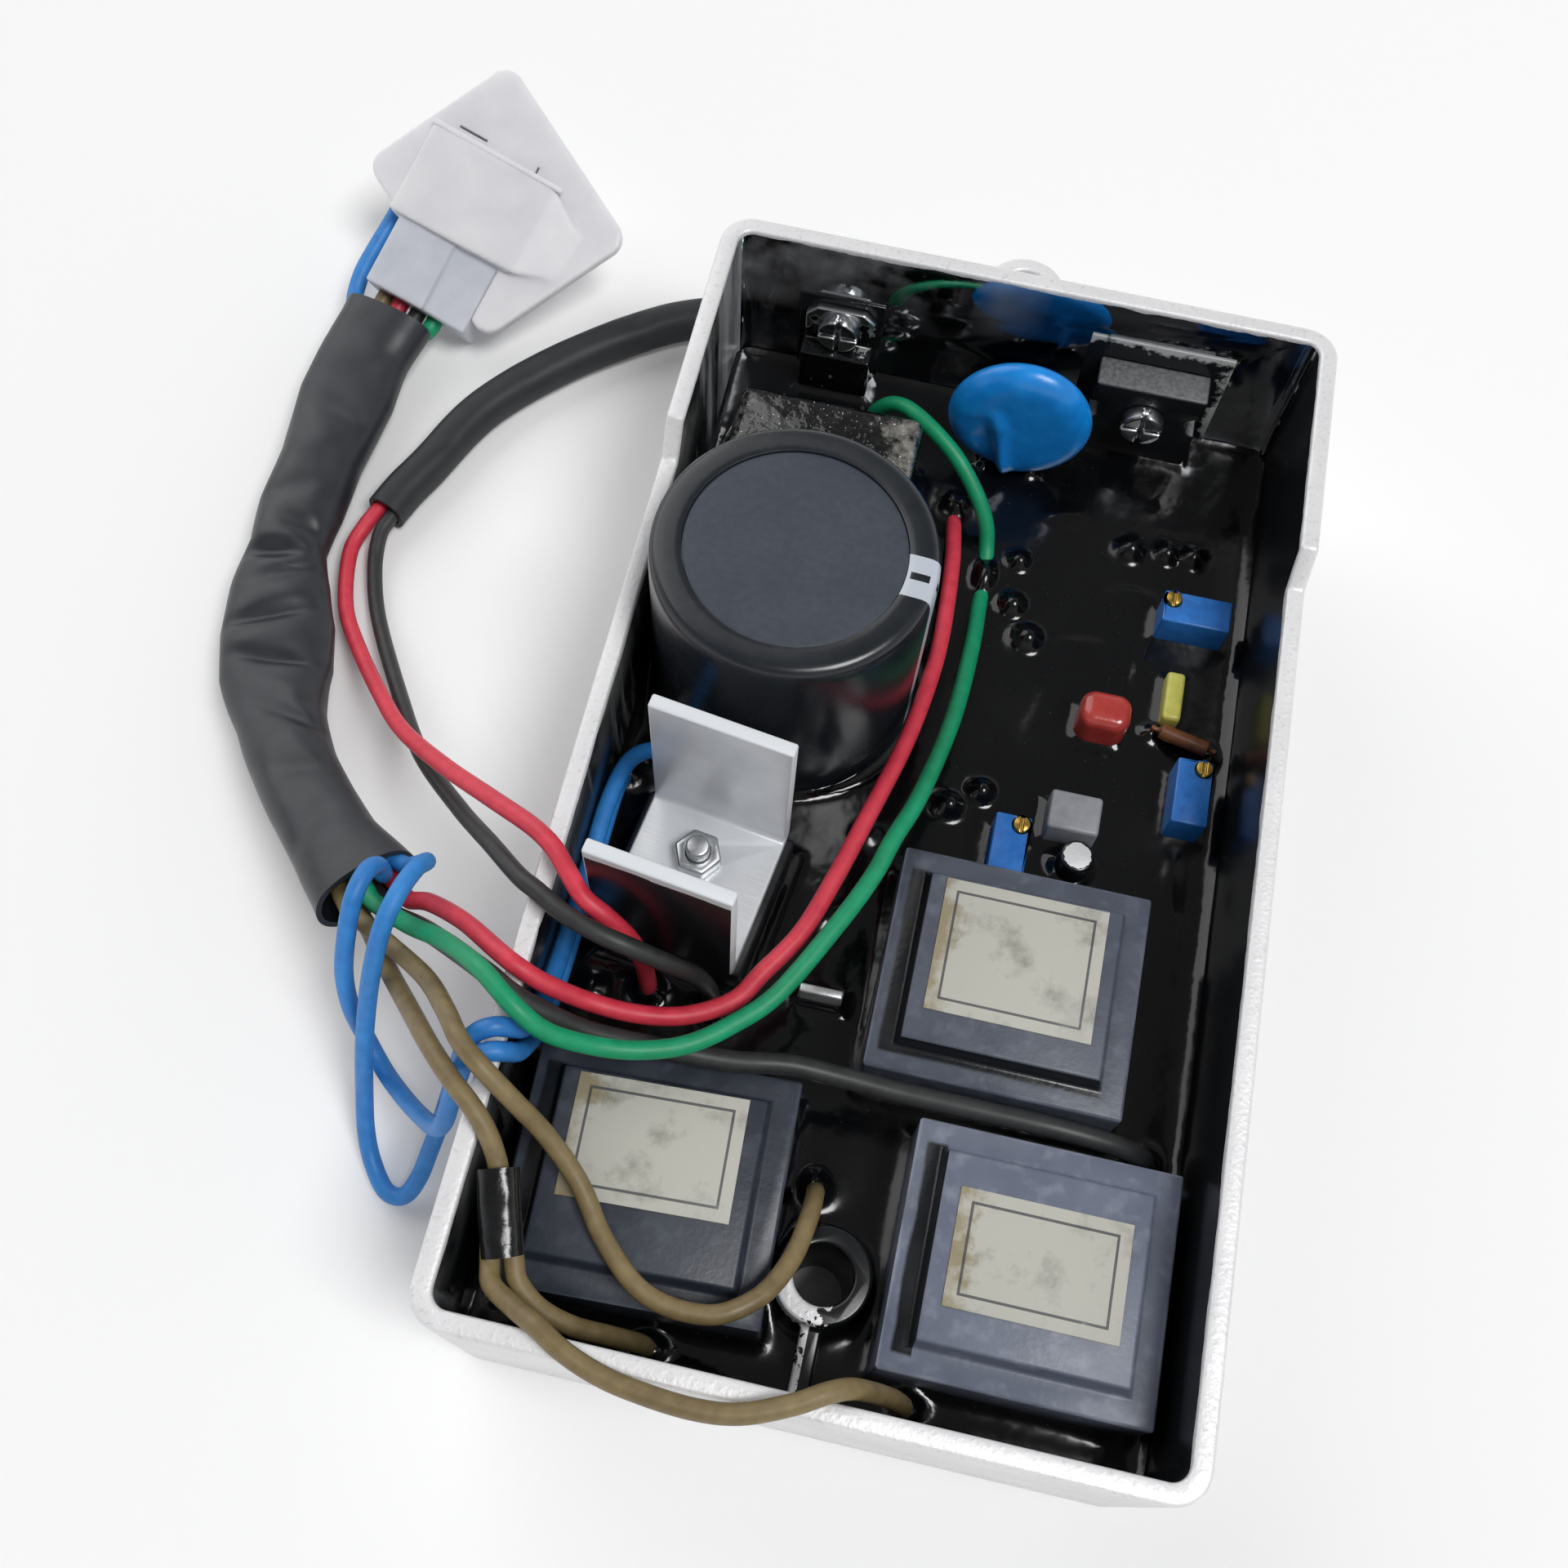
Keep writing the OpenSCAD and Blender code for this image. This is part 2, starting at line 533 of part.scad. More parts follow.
module film_capacitor() {
  color([0.16, 0.17, 0.18])
  at([film_x, film_y]) block(film_w, film_d, board_top, film_top);
}

// Transistors stand on the far wall over insulating pads.
module small_transistor() {
  color([0.1, 0.1, 0.11])
  difference() {
    union() {
      translate([small_x - small_w / 2, pad_face - small_tab_t, device_bottom])
        cube([small_w, small_tab_t, small_top - device_bottom]);
      translate([small_x - small_w / 2, pad_face - small_body_t, device_bottom])
        cube([small_w, small_body_t, small_body_top - device_bottom]);
      for (i = [-1 : 1]) translate([small_x + i * 2.54 - 0.4, pad_face - 2.9, board_top])
        cube([0.8, 0.5, device_bottom - board_top + eps]);
    }
    y_rod(small_x, small_screw_z, screw_r + 0.3, pad_face - 9, pad_face + 1);
    for (i = [-1, 1]) translate([small_x + i * small_w / 2, pad_face - 3, small_top]) rotate([-90, 45, 0])
      translate([-1.2, -1.2, 0]) cube([2.4, 2.4, 9]);
  }
}

module power_transistor() {
  color([0.09, 0.09, 0.1])
  difference() {
    union() {
      translate([big_x - big_w / 2, pad_face - big_t, device_bottom])
        cube([big_w, big_t, big_top - device_bottom]);
      for (i = [-1 : 1]) translate([big_x + i * 5.45 - 0.6, pad_face - 2.8, board_top])
        cube([1.2, 0.6, device_bottom - board_top + eps]);
    }
    y_rod(big_x, big_screw_z, screw_r + 0.3, pad_face - big_t - 1, pad_face + 1);
    for (i = [-1, 1]) y_rod(big_x + i * big_w / 2, big_screw_z, 1.8, pad_face - big_t - 1, pad_face - 2);
  }
}

module pad_blocks(grow) {
  translate([small_x - small_pad_w / 2, pad_face - grow, device_bottom - pad_low])
    cube([small_pad_w, pad_t + 2 * grow, small_pad_h]);
  translate([big_x - big_pad_left, pad_face - grow, device_bottom - pad_low])
    cube([big_pad_w, pad_t + 2 * grow, big_pad_h]);
}

module insulating_pads() {
  color([0.8, 0.8, 0.78])
  difference() {
    pad_blocks(0);
    y_rod(small_x, small_screw_z, screw_r + screw_clear, pad_face - 1, in_y + 1);
    y_rod(big_x, big_screw_z, screw_r + screw_clear, pad_face - 1, in_y + 1);
  }
}

module wall_screw(x, z, face) {
  difference() {
    union() {
      y_rod(x, z, head_r + 0.3, face - head_h, face);
      y_rod(x, z, screw_r, face - 1, half_l);
    }
    translate([x - 0.3, face - head_h - 1, z - 5]) cube([0.6, 1.8, 10]);
    translate([x - 5, face - head_h - 1, z - 0.3]) cube([10, 1.8, 0.6]);
  }
}

module wall_screws() {
  color([0.72, 0.72, 0.74]) {
    wall_screw(small_x, small_screw_z, pad_face - small_tab_t);
    wall_screw(big_x, big_screw_z, pad_face - big_t);
  }
}

// A round-edged disc on two leads.
module varistor_shape() {
  edge = disc_t / 2 - 0.4;
  translate([disc_x, disc_y, disc_z]) rotate([90 + disc_lean, 0, 0]) rotate_extrude() {
    translate([0, -disc_t / 2]) square([disc_d / 2 - edge, disc_t]);
    translate([0, -disc_t / 2 + edge]) square([disc_d / 2, disc_t - 2 * edge]);
    for (i = [-1, 1]) translate([disc_d / 2 - edge, i * (disc_t / 2 - edge)]) intersection() {
      circle(r = edge);
      translate([0, -edge]) square([edge, 2 * edge]);
    }
  }
  for (i = [-1, 1]) at([disc_x + i * 3.75, disc_y - 0.7]) post(0.4, board_top, disc_z - disc_d / 2 + 2);
}

module varistor() {
  color([0.12, 0.5, 0.82]) varistor_shape();
}

module red_film_capacitor() {
  color([0.72, 0.22, 0.2])
  at([22.4 * sx, 21.9 * sy]) translate([0, 0, board_top]) linear_extrude(height = 19 - board_top)
    rounded_plan(7, 5.5, 2);
}

module yellow_capacitor() {
  color([0.8, 0.78, 0.3]) at([31.6 * sx, 27.65 * sy]) block(2.6, 7.5, board_top, 16);
}

module at_diode() {
  at([33.85 * sx, 21.6 * sy]) rotate(-11.8) children();
}

module axial_diode() {
  color([0.5, 0.3, 0.16])
  at_diode() {
    translate([-3.4, 0, 15]) rotate([0, 90, 0]) cylinder(r = 1.1, h = 6.8);
    translate([-4.4, 0, 15]) rotate([0, 90, 0]) cylinder(r = 0.35, h = 8.8);
    for (i = [-1, 1]) translate([i * 4.4, 0, 0]) post(0.35, board_top, 15.35);
  }
}

module grey_box_capacitor() {
  color([0.56, 0.57, 0.6]) at([20.45 * sx, 6.2 * sy]) block(6.9, 5.6, board_top, 18);
}

module small_electrolytic() {
  color([0.14, 0.15, 0.2]) at([21.6 * sx, 0.1 * sy]) post(2.3, board_top, 18);
}

// Parts drowned in resin show as rounded lumps on its surface.
module lump(x, y, r) {
  at([x * sx, y * sy]) intersection() {
    translate([0, 0, resin_top]) sphere(r = r);
    block(3 * r, 3 * r, resin_top, resin_top + 2 * r);
  }
}

module coated_components() {
  color([0.07, 0.07, 0.08]) {
    lump(4.2, 5.3, 1.8);
    lump(8.2, 8.4, 1.6);
    lump(7.4, 45.6, 1.3);
    lump(7.6, 38.2, 1.6);
    lump(10.5, 33.2, 1.8);
    lump(28.2, 51.9, 1.5);
    lump(32, 52.1, 1.5);
    lump(22.9, 51.3, 1.7);
  }
}

module solder_tab() {
  color([0.6, 0.61, 0.63]) at([-7.2 * sx, -25 * sy]) block(5.6, 1.2, board_top, 17);
}

// Trimmer bodies with a hole for the adjusting screw near one corner.
module trimmer(w, l, spot) {
  difference() {
    block(w, l, board_top, trim_top);
    at(spot) post(trim_screw_r + trim_clear, trim_top - trim_screw_down - trim_clear, trim_top + 1);
  }
}

module trimmer_screw(spot) {
  at(spot) difference() {
    post(trim_screw_r, trim_top - trim_screw_down, trim_top + trim_screw_up);
    block(0.5, 3 * trim_screw_r, trim_top + trim_screw_up - 0.5, trim_top + trim_screw_up + 1);
  }
}

spot_a = [-trim_screw_in[0], trim_screw_in[1]];
spot_b = [trim_screw_in[1], trim_screw_in[0]];
spot_c = [trim_screw_in[1], trim_screw_in[0]];

module trimmer_body_a() {
  color([0.16, 0.42, 0.78]) at(trim_a) trimmer(trim_l, trim_w, spot_a);
}

module trimmer_body_b() {
  color([0.16, 0.42, 0.78]) at(trim_b) trimmer(trim_w, trim_l, spot_b);
}

module trimmer_body_c() {
  color([0.16, 0.42, 0.78]) at(trim_c) trimmer(trim_w, trim_l, spot_c);
}

module trimmer_screw_a() {
  color([0.8, 0.62, 0.28]) at(trim_a) trimmer_screw(spot_a);
}

module trimmer_screw_b() {
  color([0.8, 0.62, 0.28]) at(trim_b) trimmer_screw(spot_b);
}

module trimmer_screw_c() {
  color([0.8, 0.62, 0.28]) at(trim_c) trimmer_screw(spot_c);
}

// Transformer cases are open-bottomed shells with a raised panel inside a flat ledge.
module shoulder_profile(w) {
  polygon([[-w / 2, board_top], [w / 2, board_top], [w / 2, xf_shoulder], [w / 2 - xf_slope + xf_draft, xf_shoulder],
    [w / 2 - xf_slope, xf_top], [-w / 2 + xf_slope, xf_top], [-w / 2 + xf_slope - xf_draft, xf_shoulder],
    [-w / 2, xf_shoulder]]);
}

module transformer_case() {
  color([0.32, 0.35, 0.42])
  difference() {
    intersection() {
      translate([0, xf_d / 2, 0]) rotate([90, 0, 0]) linear_extrude(height = xf_d) shoulder_profile(xf_w);
      translate([-xf_w / 2, 0, 0]) rotate([90, 0, 90]) linear_extrude(height = xf_w) shoulder_profile(xf_d);
    }
    block(xf_w - 2 * xf_wall, xf_d - 2 * xf_wall, board_top - 1, xf_shoulder - xf_wall);
  }
}

module transformer_case_1() {
  at(xf_1) transformer_case();
}

module transformer_case_2() {
  at(xf_2) transformer_case();
}

module transformer_case_3() {
  at(xf_3) rotate(xf_turn_3) transformer_case();
}

// Laminated core: a frame with a middle leg, the coil round that leg.
core_w = xf_w - 2 * xf_wall - 0.6;
core_d = 10;
core_top = xf_shoulder - xf_wall - 0.4;
leg = 8.4;
yoke = 3;
window = (core_w - leg) / 2 - 4.2;

module transformer_core() {
  difference() {
    block(core_w, core_d, board_top, core_top);
    for (i = [-1, 1]) translate([i * (leg / 2 + window / 2), 0, 0])
      block(window, core_d + 2, board_top + yoke, core_top - yoke);
  }
}

module transformer_coil() {
  difference() {
    block(leg + 2 * window - 0.4, xf_d - 2 * xf_wall - 1, board_top + yoke, core_top - yoke);
    block(leg + 0.2, core_d + 0.2, board_top, core_top);
  }
}

module transformer_cores() {
  color([0.45, 0.46, 0.48]) {
    at(xf_1) transformer_core();
    at(xf_2) transformer_core();
    at(xf_3) rotate(xf_turn_3) transformer_core();
  }
}

module transformer_coils() {
  color([0.72, 0.4, 0.2]) {
    at(xf_1) transformer_coil();
    at(xf_2) transformer_coil();
    at(xf_3) rotate(xf_turn_3) transformer_coil();
  }
}

module transformer_label_1() {
  color([0.84, 0.83, 0.76]) at([xf_1[0] + 0.1, xf_1[1] + 0.2]) block(label_w, label_1_d, xf_top, xf_top + label_t);
}

module transformer_label_2() {
  color([0.84, 0.83, 0.76]) at([xf_2[0] + 0.1, xf_2[1] + 1.8]) block(label_2_w, label_2_d, xf_top, xf_top + label_t);
}

module transformer_label_3() {
  color([0.84, 0.83, 0.76]) at([xf_3[0] - 0.1, xf_3[1] + 3.2]) rotate(3)
    block(label_w, label_3_d, xf_top, xf_top + label_t);
}

// Leads
module red_main_wire() {
  color([0.8, 0.2, 0.25]) tube(RED_MAIN, wire_d, 8, 2);
}

module green_wire() {
  color([0.06, 0.58, 0.4]) tube(GREEN, wire_d, 8, 2);
}

module black_main_wire() {
  color([0.15, 0.15, 0.16]) tube(BLACK_MAIN, sleeved_d, 8, 2);
}

module red_aux_wire() {
  color([0.8, 0.2, 0.25]) tube(RED_AUX, wire_d, 8, 2);
}

module black_aux_wire() {
  color([0.15, 0.15, 0.16]) tube(BLACK_AUX, wire_d, 8, 2);
}

module blue_wire_a() {
  color([0.17, 0.48, 0.78]) tube(BLUE_A, wire_d, 8, 2);
}

module blue_wire_b() {
  color([0.17, 0.48, 0.78]) tube(BLUE_B, wire_d, 8, 2);
}

module brown_wire_a() {
  color([0.47, 0.41, 0.28]) tube(BROWN_A, wire_d, 8, 2);
}

module brown_wire_c() {
  color([0.47, 0.41, 0.28]) tube(BROWN_C, wire_d, 8, 2);
}

module brown_wire_d() {
  color([0.47, 0.41, 0.28]) tube(BROWN_D, wire_d, 8, 2);
}

module brown_wire_e() {
  color([0.47, 0.41, 0.28]) tube(BROWN_E, wire_d, 8, 2);
}

module brown_joint_sleeve() {
  color([0.13, 0.13, 0.14]) tube(BROWN_JOINT, 2 * wire_d + 0.4, 12, 3);
}

module main_sleeve() {
  color([0.2, 0.2, 0.21]) flat_tube(MAIN_SLEEVE, flat_w, flat_t, 16, 3);
}

module thin_sleeve() {
  color([0.2, 0.2, 0.21]) tube(THIN_SLEEVE, round_d, 12, 2);
}

module plug_wires() {
  color([0.3, 0.3, 0.4]) {
    tube(PLUG_RED, wire_d, 8, 2);
    tube(PLUG_BLACK, wire_d, 8, 2);
    tube(PLUG_BLUE, wire_d, 8, 2);
  }
}

// Plug: a stepped housing seated in a tapered hood.
module at_plug() {
  translate(plug_at) rotate([plug_pitch, plug_roll, plug_turn]) children();
}

module plug_blocks(grow) {
  translate([-grow, 0, -rear_t - grow]) cube([rear_w + 2 * grow, rear_l + 1, rear_t + 2 * grow]);
  translate([-body_in - grow, rear_l - grow, -body_t - grow])
    cube([body_w + 2 * grow, body_l + 2 * grow, body_t + body_up + 2 * grow]);
}

module plug_housing() {
  color([0.86, 0.86, 0.88])
  at_plug() difference() {
    plug_blocks(0);
    translate([rear_split, -1, -rear_step]) cube([rear_w, rear_l + 1, 2]);
    for (p = [5.5, 11.5]) translate([p, -1, -rear_t / 2]) rotate([-90, 0, 0]) cylinder(r = wire_d / 2 + 0.45, h = 8);
  }
}

module hood_plate(cut, z0, z1) {
  translate([0, 0, z0]) linear_extrude(height = z1 - z0)
    rounded_plan(hood_w - 2 * cut, hood_l - 2 * cut, hood_r);
}

module plug_hood() {
  color([0.9, 0.9, 0.92])
  at_plug() difference() {
    translate([hood_mid[0], hood_mid[1], 0]) rotate(hood_turn) hull() {
      hood_plate(0, -hood_drop - hood_lip, -hood_drop);
      hood_plate(hood_taper, -hood_drop - hood_t, -hood_drop - hood_t + 1);
    }
    plug_blocks(slip);
    translate([-40, -40, -30]) cube([40 + rear_w + slip, 40 + rear_l, 60]);
  }
}

module small_plug() {
  color([0.86, 0.86, 0.88])
  translate([-32.6 * sx, 84 * sy, 0]) difference() {
    cube([18, 8, 6.6]);
    for (i = [0, 1]) translate([12, 0.9 + 3.3 * i, 1.6]) cube([7, 2.9, 3.4]);
  }
}

case();
potting();
circuit_board();
board_screws();
capacitor_can();
capacitor_sleeve();
capacitor_end_disc();
bridge_rectifier();
heat_sink();
heat_sink_screw();
heat_sink_nut();
film_capacitor();
small_transistor();
power_transistor();
insulating_pads();
wall_screws();
varistor();
red_film_capacitor();
yellow_capacitor();
axial_diode();
grey_box_capacitor();
small_electrolytic();
coated_components();
solder_tab();
trimmer_body_a();
trimmer_body_b();
trimmer_body_c();
trimmer_screw_a();
trimmer_screw_b();
trimmer_screw_c();
transformer_case_1();
transformer_case_2();
transformer_case_3();
transformer_cores();
transformer_coils();
transformer_label_1();
transformer_label_2();
transformer_label_3();
red_main_wire();
green_wire();
black_main_wire();
red_aux_wire();
black_aux_wire();
blue_wire_a();
blue_wire_b();
brown_wire_a();
brown_wire_c();
brown_wire_d();
brown_wire_e();
brown_joint_sleeve();
main_sleeve();
thin_sleeve();
plug_wires();
plug_housing();
plug_hood();
small_plug();
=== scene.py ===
import itertools
import math

import bpy
import numpy
from mathutils import Matrix, Vector, noise


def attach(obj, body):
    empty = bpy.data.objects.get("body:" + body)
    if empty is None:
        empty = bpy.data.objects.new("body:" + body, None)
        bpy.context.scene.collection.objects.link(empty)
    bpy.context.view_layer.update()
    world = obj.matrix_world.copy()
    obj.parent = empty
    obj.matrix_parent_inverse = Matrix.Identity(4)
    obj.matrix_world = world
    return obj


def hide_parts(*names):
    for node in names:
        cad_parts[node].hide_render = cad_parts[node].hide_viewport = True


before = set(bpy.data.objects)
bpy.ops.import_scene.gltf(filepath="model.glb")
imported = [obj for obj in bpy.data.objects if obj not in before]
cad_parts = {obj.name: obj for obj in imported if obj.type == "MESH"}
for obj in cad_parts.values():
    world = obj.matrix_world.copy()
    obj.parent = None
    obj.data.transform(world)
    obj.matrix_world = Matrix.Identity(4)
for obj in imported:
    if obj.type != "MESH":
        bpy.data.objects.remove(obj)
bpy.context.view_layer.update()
BODY = "regulator"
MM = 0.001
# Points of a mesh nearer than this, in metres, are merged.
MERGE = 1e-6


def linked(name, data):
    """A new object in the scene."""
    obj = bpy.data.objects.new(name, data)
    bpy.context.scene.collection.objects.link(obj)
    return obj


# Camera: found by fitting the tray's rims, the transformers and the capacitor to the photograph.
EYE = Vector((-6.57, -84.89, 213.67)) * MM
RIGHT = Vector((0.9758, 0.2151, 0.0385))
UP = Vector((-0.2121, 0.8900, 0.4037))
AHEAD = Vector((-0.0526, 0.4021, -0.9141))
FOCAL_PIXELS = 1989
IMAGE_PIXELS = 1920
SENSOR_WIDTH = 36

lens = bpy.data.cameras.new("camera")
lens.sensor_width = SENSOR_WIDTH
lens.lens = SENSOR_WIDTH * FOCAL_PIXELS / IMAGE_PIXELS
lens.clip_start = 0.005
lens.clip_end = 20
camera = linked("camera", lens)
turn = Matrix((RIGHT, UP, -AHEAD)).transposed().to_4x4()
camera.matrix_world = Matrix.Translation(EYE) @ turn
bpy.context.scene.camera = camera


# Finishes
def tint(code):
    """An sRGB hex colour as linear red, green, blue and alpha."""
    parts = [int(code[i : i + 2], 16) / 255 for i in (1, 3, 5)]
    linear = [p / 12.92 if p <= 0.04045 else ((p + 0.055) / 1.055) ** 2.4 for p in parts]
    return (*linear, 1)


# The output that a node passes on where it isn't the first.
MAIN_OUTPUT = {"ShaderNodeMix": 2, "ShaderNodeVectorMath": 1}


def feed(tree, node, values):
    """Numbers, sockets or nodes for a node's inputs, by name or in their order."""
    pairs = values.items() if isinstance(values, dict) else enumerate(values)
    for key, value in pairs:
        if isinstance(value, bpy.types.Node):
            value = value.outputs[MAIN_OUTPUT.get(value.bl_idname, 0)]
        if isinstance(value, bpy.types.NodeSocket):
            tree.links.new(value, node.inputs[key])
        else:
            node.inputs[key].default_value = value


# A noise's scale is given as so many grains or blotches per millimetre.
def add(tree, kind, values=(), **settings):
    """One node with its settings and links; inputs 6 and 7 of a Mix node are its colours."""
    new = tree.nodes.new("ShaderNode" + kind)
    if kind == "Mix":
        new.data_type = "RGBA"
    for key, value in settings.items():
        setattr(new, key, value)
    feed(tree, new, values)
    return new


def blank(name, values):
    """A material, its tree, its shader and the Object coordinates."""
    material = bpy.data.materials.new(name)
    material.use_nodes = True
    tree = material.node_tree
    shader = tree.nodes["Principled BSDF"]
    feed(tree, shader, values)
    place = add(tree, "TexCoord").outputs["Object"]
    return material, tree, shader, place


def own_frame(tree, place, centre, angle):
    """Coordinates from a part's centre, turned with the part."""
    moved = add(tree, "Mapping", {"Vector": place, "Location": (-centre[0], -centre[1], 0)})
    return add(tree, "Mapping", {"Vector": moved, "Rotation": (0, 0, -angle)})


def grained(name, dark, light, grain, rough, relief, values):
    """A surface whose colour, roughness and height vary with a grain given in millimetres."""
    material, tree, shader, place = blank(name, values)
    grit = add(tree, "TexNoise", {"Vector": place, "Scale": 1 / (grain * MM), "Detail": 5})
    cloud = add(tree, "TexNoise", {"Vector": place, "Scale": 0.12 / (grain * MM), "Detail": 3})
    both = add(tree, "Math", [grit, cloud], operation="ADD")
    share = add(tree, "MapRange", {"Value": both, "From Min": 0.7, "From Max": 1.3})
    colour = add(tree, "Mix", {0: share, 6: tint(dark), 7: tint(light)})
    sheen = add(tree, "MapRange", {"Value": cloud, "From Min": 0.3, "From Max": 0.7, "To Min": rough[0],
                                   "To Max": rough[1]})
    height = add(tree, "Bump", {"Height": grit, "Distance": relief * MM})
    feed(tree, shader, {"Base Color": colour, "Roughness": sheen, "Normal": height})
    return material


# Cast aluminium, shot-blasted: pale satin metal, with black dip coating inside below the rim.
def coated_casting():
    material, tree, shader, place = blank("cast_aluminium_dip_coated", {"IOR": 1.55})
    x, y, z = add(tree, "SeparateXYZ", [place]).outputs
    inner_half_wide = 0.0411
    inner_half_long = 0.0736
    boss_middle = (-0.0034, -0.0632, 0.0195)
    rib_middle = -0.0008
    rib_end = -0.0636
    rib_height = 0.0171
    far_wall = 0.0722
    left_wall = -0.0398
    side = add(tree, "Math", [x], operation="ABSOLUTE")
    end = add(tree, "Math", [y], operation="ABSOLUTE")
    in_side = add(tree, "Math", [side, inner_half_wide], operation="LESS_THAN")
    in_end = add(tree, "Math", [end, inner_half_long], operation="LESS_THAN")
    tall = add(tree, "MapRange", {"Value": y, "From Min": 0.0365, "From Max": 0.0400, "To Min": 0.0332,
                                  "To Max": 0.0377})
    ragged = add(tree, "TexNoise", {"Vector": place, "Scale": 0.16 / MM, "Detail": 4})
    edge = add(tree, "Math", [ragged, 0.0018, tall], operation="MULTIPLY_ADD")
    lowered = add(tree, "Math", [edge, 0.0009], operation="SUBTRACT")
    below = add(tree, "Math", [z, lowered], operation="LESS_THAN")
    flat = add(tree, "Math", [in_side, in_end], operation="MULTIPLY")
    inside = add(tree, "Math", [flat, below], operation="MULTIPLY")
    # Bare metal shows where the coating is chipped on the boss and along its rib.
    flake = add(tree, "TexNoise", {"Vector": place, "Scale": 1.1 / MM, "Detail": 5})
    away = add(tree, "VectorMath", [place, boss_middle], operation="DISTANCE")
    broad = add(tree, "Math", [ragged, 0.0050, -0.0026], operation="MULTIPLY_ADD")
    chip = add(tree, "Math", [flake, 0.0075, broad], operation="MULTIPLY_ADD")
    chipped = add(tree, "Math", [away, chip], operation="GREATER_THAN")
    rib_left = add(tree, "Math", [x, rib_middle, 0.0005], operation="COMPARE")
    rib_near = add(tree, "Math", [y, rib_end], operation="LESS_THAN")
    rib_high = add(tree, "Math", [z, rib_height, 0.0006], operation="COMPARE")
    rib_line = add(tree, "Math", [rib_left, rib_near], operation="MULTIPLY")
    rib_top = add(tree, "Math", [rib_line, rib_high], operation="MULTIPLY")
    rib_bare = add(tree, "Math", [rib_top, flake], operation="MULTIPLY")
    rib_kept = add(tree, "Math", [rib_bare, 0.44], operation="LESS_THAN")
    whole = add(tree, "Math", [chipped, rib_kept], operation="MULTIPLY")
    blackened = add(tree, "Math", [inside, whole], operation="MULTIPLY")
    grit = add(tree, "TexNoise", {"Vector": place, "Scale": 1.8 / MM, "Detail": 6})
    cloud = add(tree, "TexNoise", {"Vector": place, "Scale": 0.09 / MM, "Detail": 4})
    clean = add(tree, "Mix", {0: cloud, 6: tint("#D6D6D8"), 7: tint("#EEEEEF")})
    # A little dark grime lies in the grain, and the metal is flecked darker towards the foot.
    low = add(tree, "MapRange", {"Value": z, "From Min": 0.0, "From Max": 0.02, "To Min": 0.12,
                                 "To Max": 0.0})
    pits = add(tree, "Math", [grit, low], operation="ADD")
    grime = add(tree, "MapRange", {"Value": pits, "From Min": 0.56, "From Max": 0.8, "To Max": 0.45})
    metal = add(tree, "Mix", {0: grime, 6: clean, 7: tint("#97989A")})
    # The coating on the far wall has set as a dark mirror; elsewhere it is duller.
    far = add(tree, "Math", [y, far_wall], operation="GREATER_THAN")
    mirror = add(tree, "Math", [far, blackened], operation="MULTIPLY")
    dull = add(tree, "Mix", {0: cloud, 6: tint("#0A0B0D"), 7: tint("#16181B")})
    # Pale streaks are painted on the left wall, most of all towards the far corner: partly haze of dried
    # resin runs in the coating, partly a painted reflection of light.
    drawn = add(tree, "Mapping", {"Vector": place, "Scale": (1, 1, 0.12)})
    runs = add(tree, "TexNoise", {"Vector": drawn, "Scale": 0.3 / MM, "Detail": 4})
    cornerward = add(tree, "MapRange", {"Value": y, "From Min": 0.045, "From Max": 0.072, "To Min": -0.1,
                                        "To Max": 0.22})
    run_mark = add(tree, "Math", [runs, cornerward], operation="ADD")
    streak_and_reflection = add(tree, "MapRange", {"Value": run_mark, "From Min": 0.45, "From Max": 0.75,
                                    "To Max": 0.75})
    on_left = add(tree, "Math", [x, left_wall], operation="LESS_THAN")
    pale = add(tree, "Math", [streak_and_reflection, on_left], operation="MULTIPLY")
    # Painted reflection: the pale streaks lighten the coating's colour here.
    coat_with_reflection = add(tree, "Mix", {0: pale, 6: dull, 7: tint("#9DA0A4")})
    glass = add(tree, "Mix", {0: cloud, 6: tint("#B8BABE"), 7: tint("#D4D6D9")})
    coat = add(tree, "Mix", {0: mirror, 6: coat_with_reflection, 7: glass})
    # A grey patch dulls the mirror at its upper left: partly dust haze, partly a painted sheen.
    patch_left = add(tree, "MapRange", {"Value": x, "From Min": -0.012, "From Max": 0.004, "To Min": 0.6,
                                       "To Max": 0.0})
    patch_high = add(tree, "MapRange", {"Value": z, "From Min": 0.024, "From Max": 0.036})
    patch_reach = add(tree, "Math", [patch_left, patch_high], operation="MULTIPLY")
    patch_shape = add(tree, "MapRange", {"Value": cloud, "From Min": 0.4, "From Max": 0.65})
    dust_and_sheen = add(tree, "Math", [patch_reach, patch_shape], operation="MULTIPLY")
    # Painted sheen and dust: a flat grey is mixed into the mirror's colour here.
    coat_with_dust_and_sheen = add(tree, "Mix", {0: dust_and_sheen, 6: coat, 7: tint("#8A8C8A")})
    colour = add(tree, "Mix", {0: blackened, 6: metal, 7: coat_with_dust_and_sheen})
    bare = add(tree, "MapRange", {"Value": blackened, "To Min": 0.25, "To Max": 0.0})
    clear = add(tree, "Math", [mirror, dust_and_sheen], operation="SUBTRACT", use_clamp=True)
    metallic = add(tree, "Math", [bare, clear], operation="MAXIMUM")
    satin = add(tree, "MapRange", {"Value": blackened, "To Min": 0.46, "To Max": 0.26})
    rough = add(tree, "Math", [mirror, -0.2, satin], operation="MULTIPLY_ADD")
    tooth = add(tree, "MapRange", {"Value": blackened, "To Min": 0.8, "To Max": 0.05})
    height = add(tree, "Bump", {"Height": grit, "Distance": 0.0001, "Strength": tooth})
    feed(tree, shader, {"Base Color": colour, "Metallic": metallic, "Roughness": rough, "Normal": height})
    return material


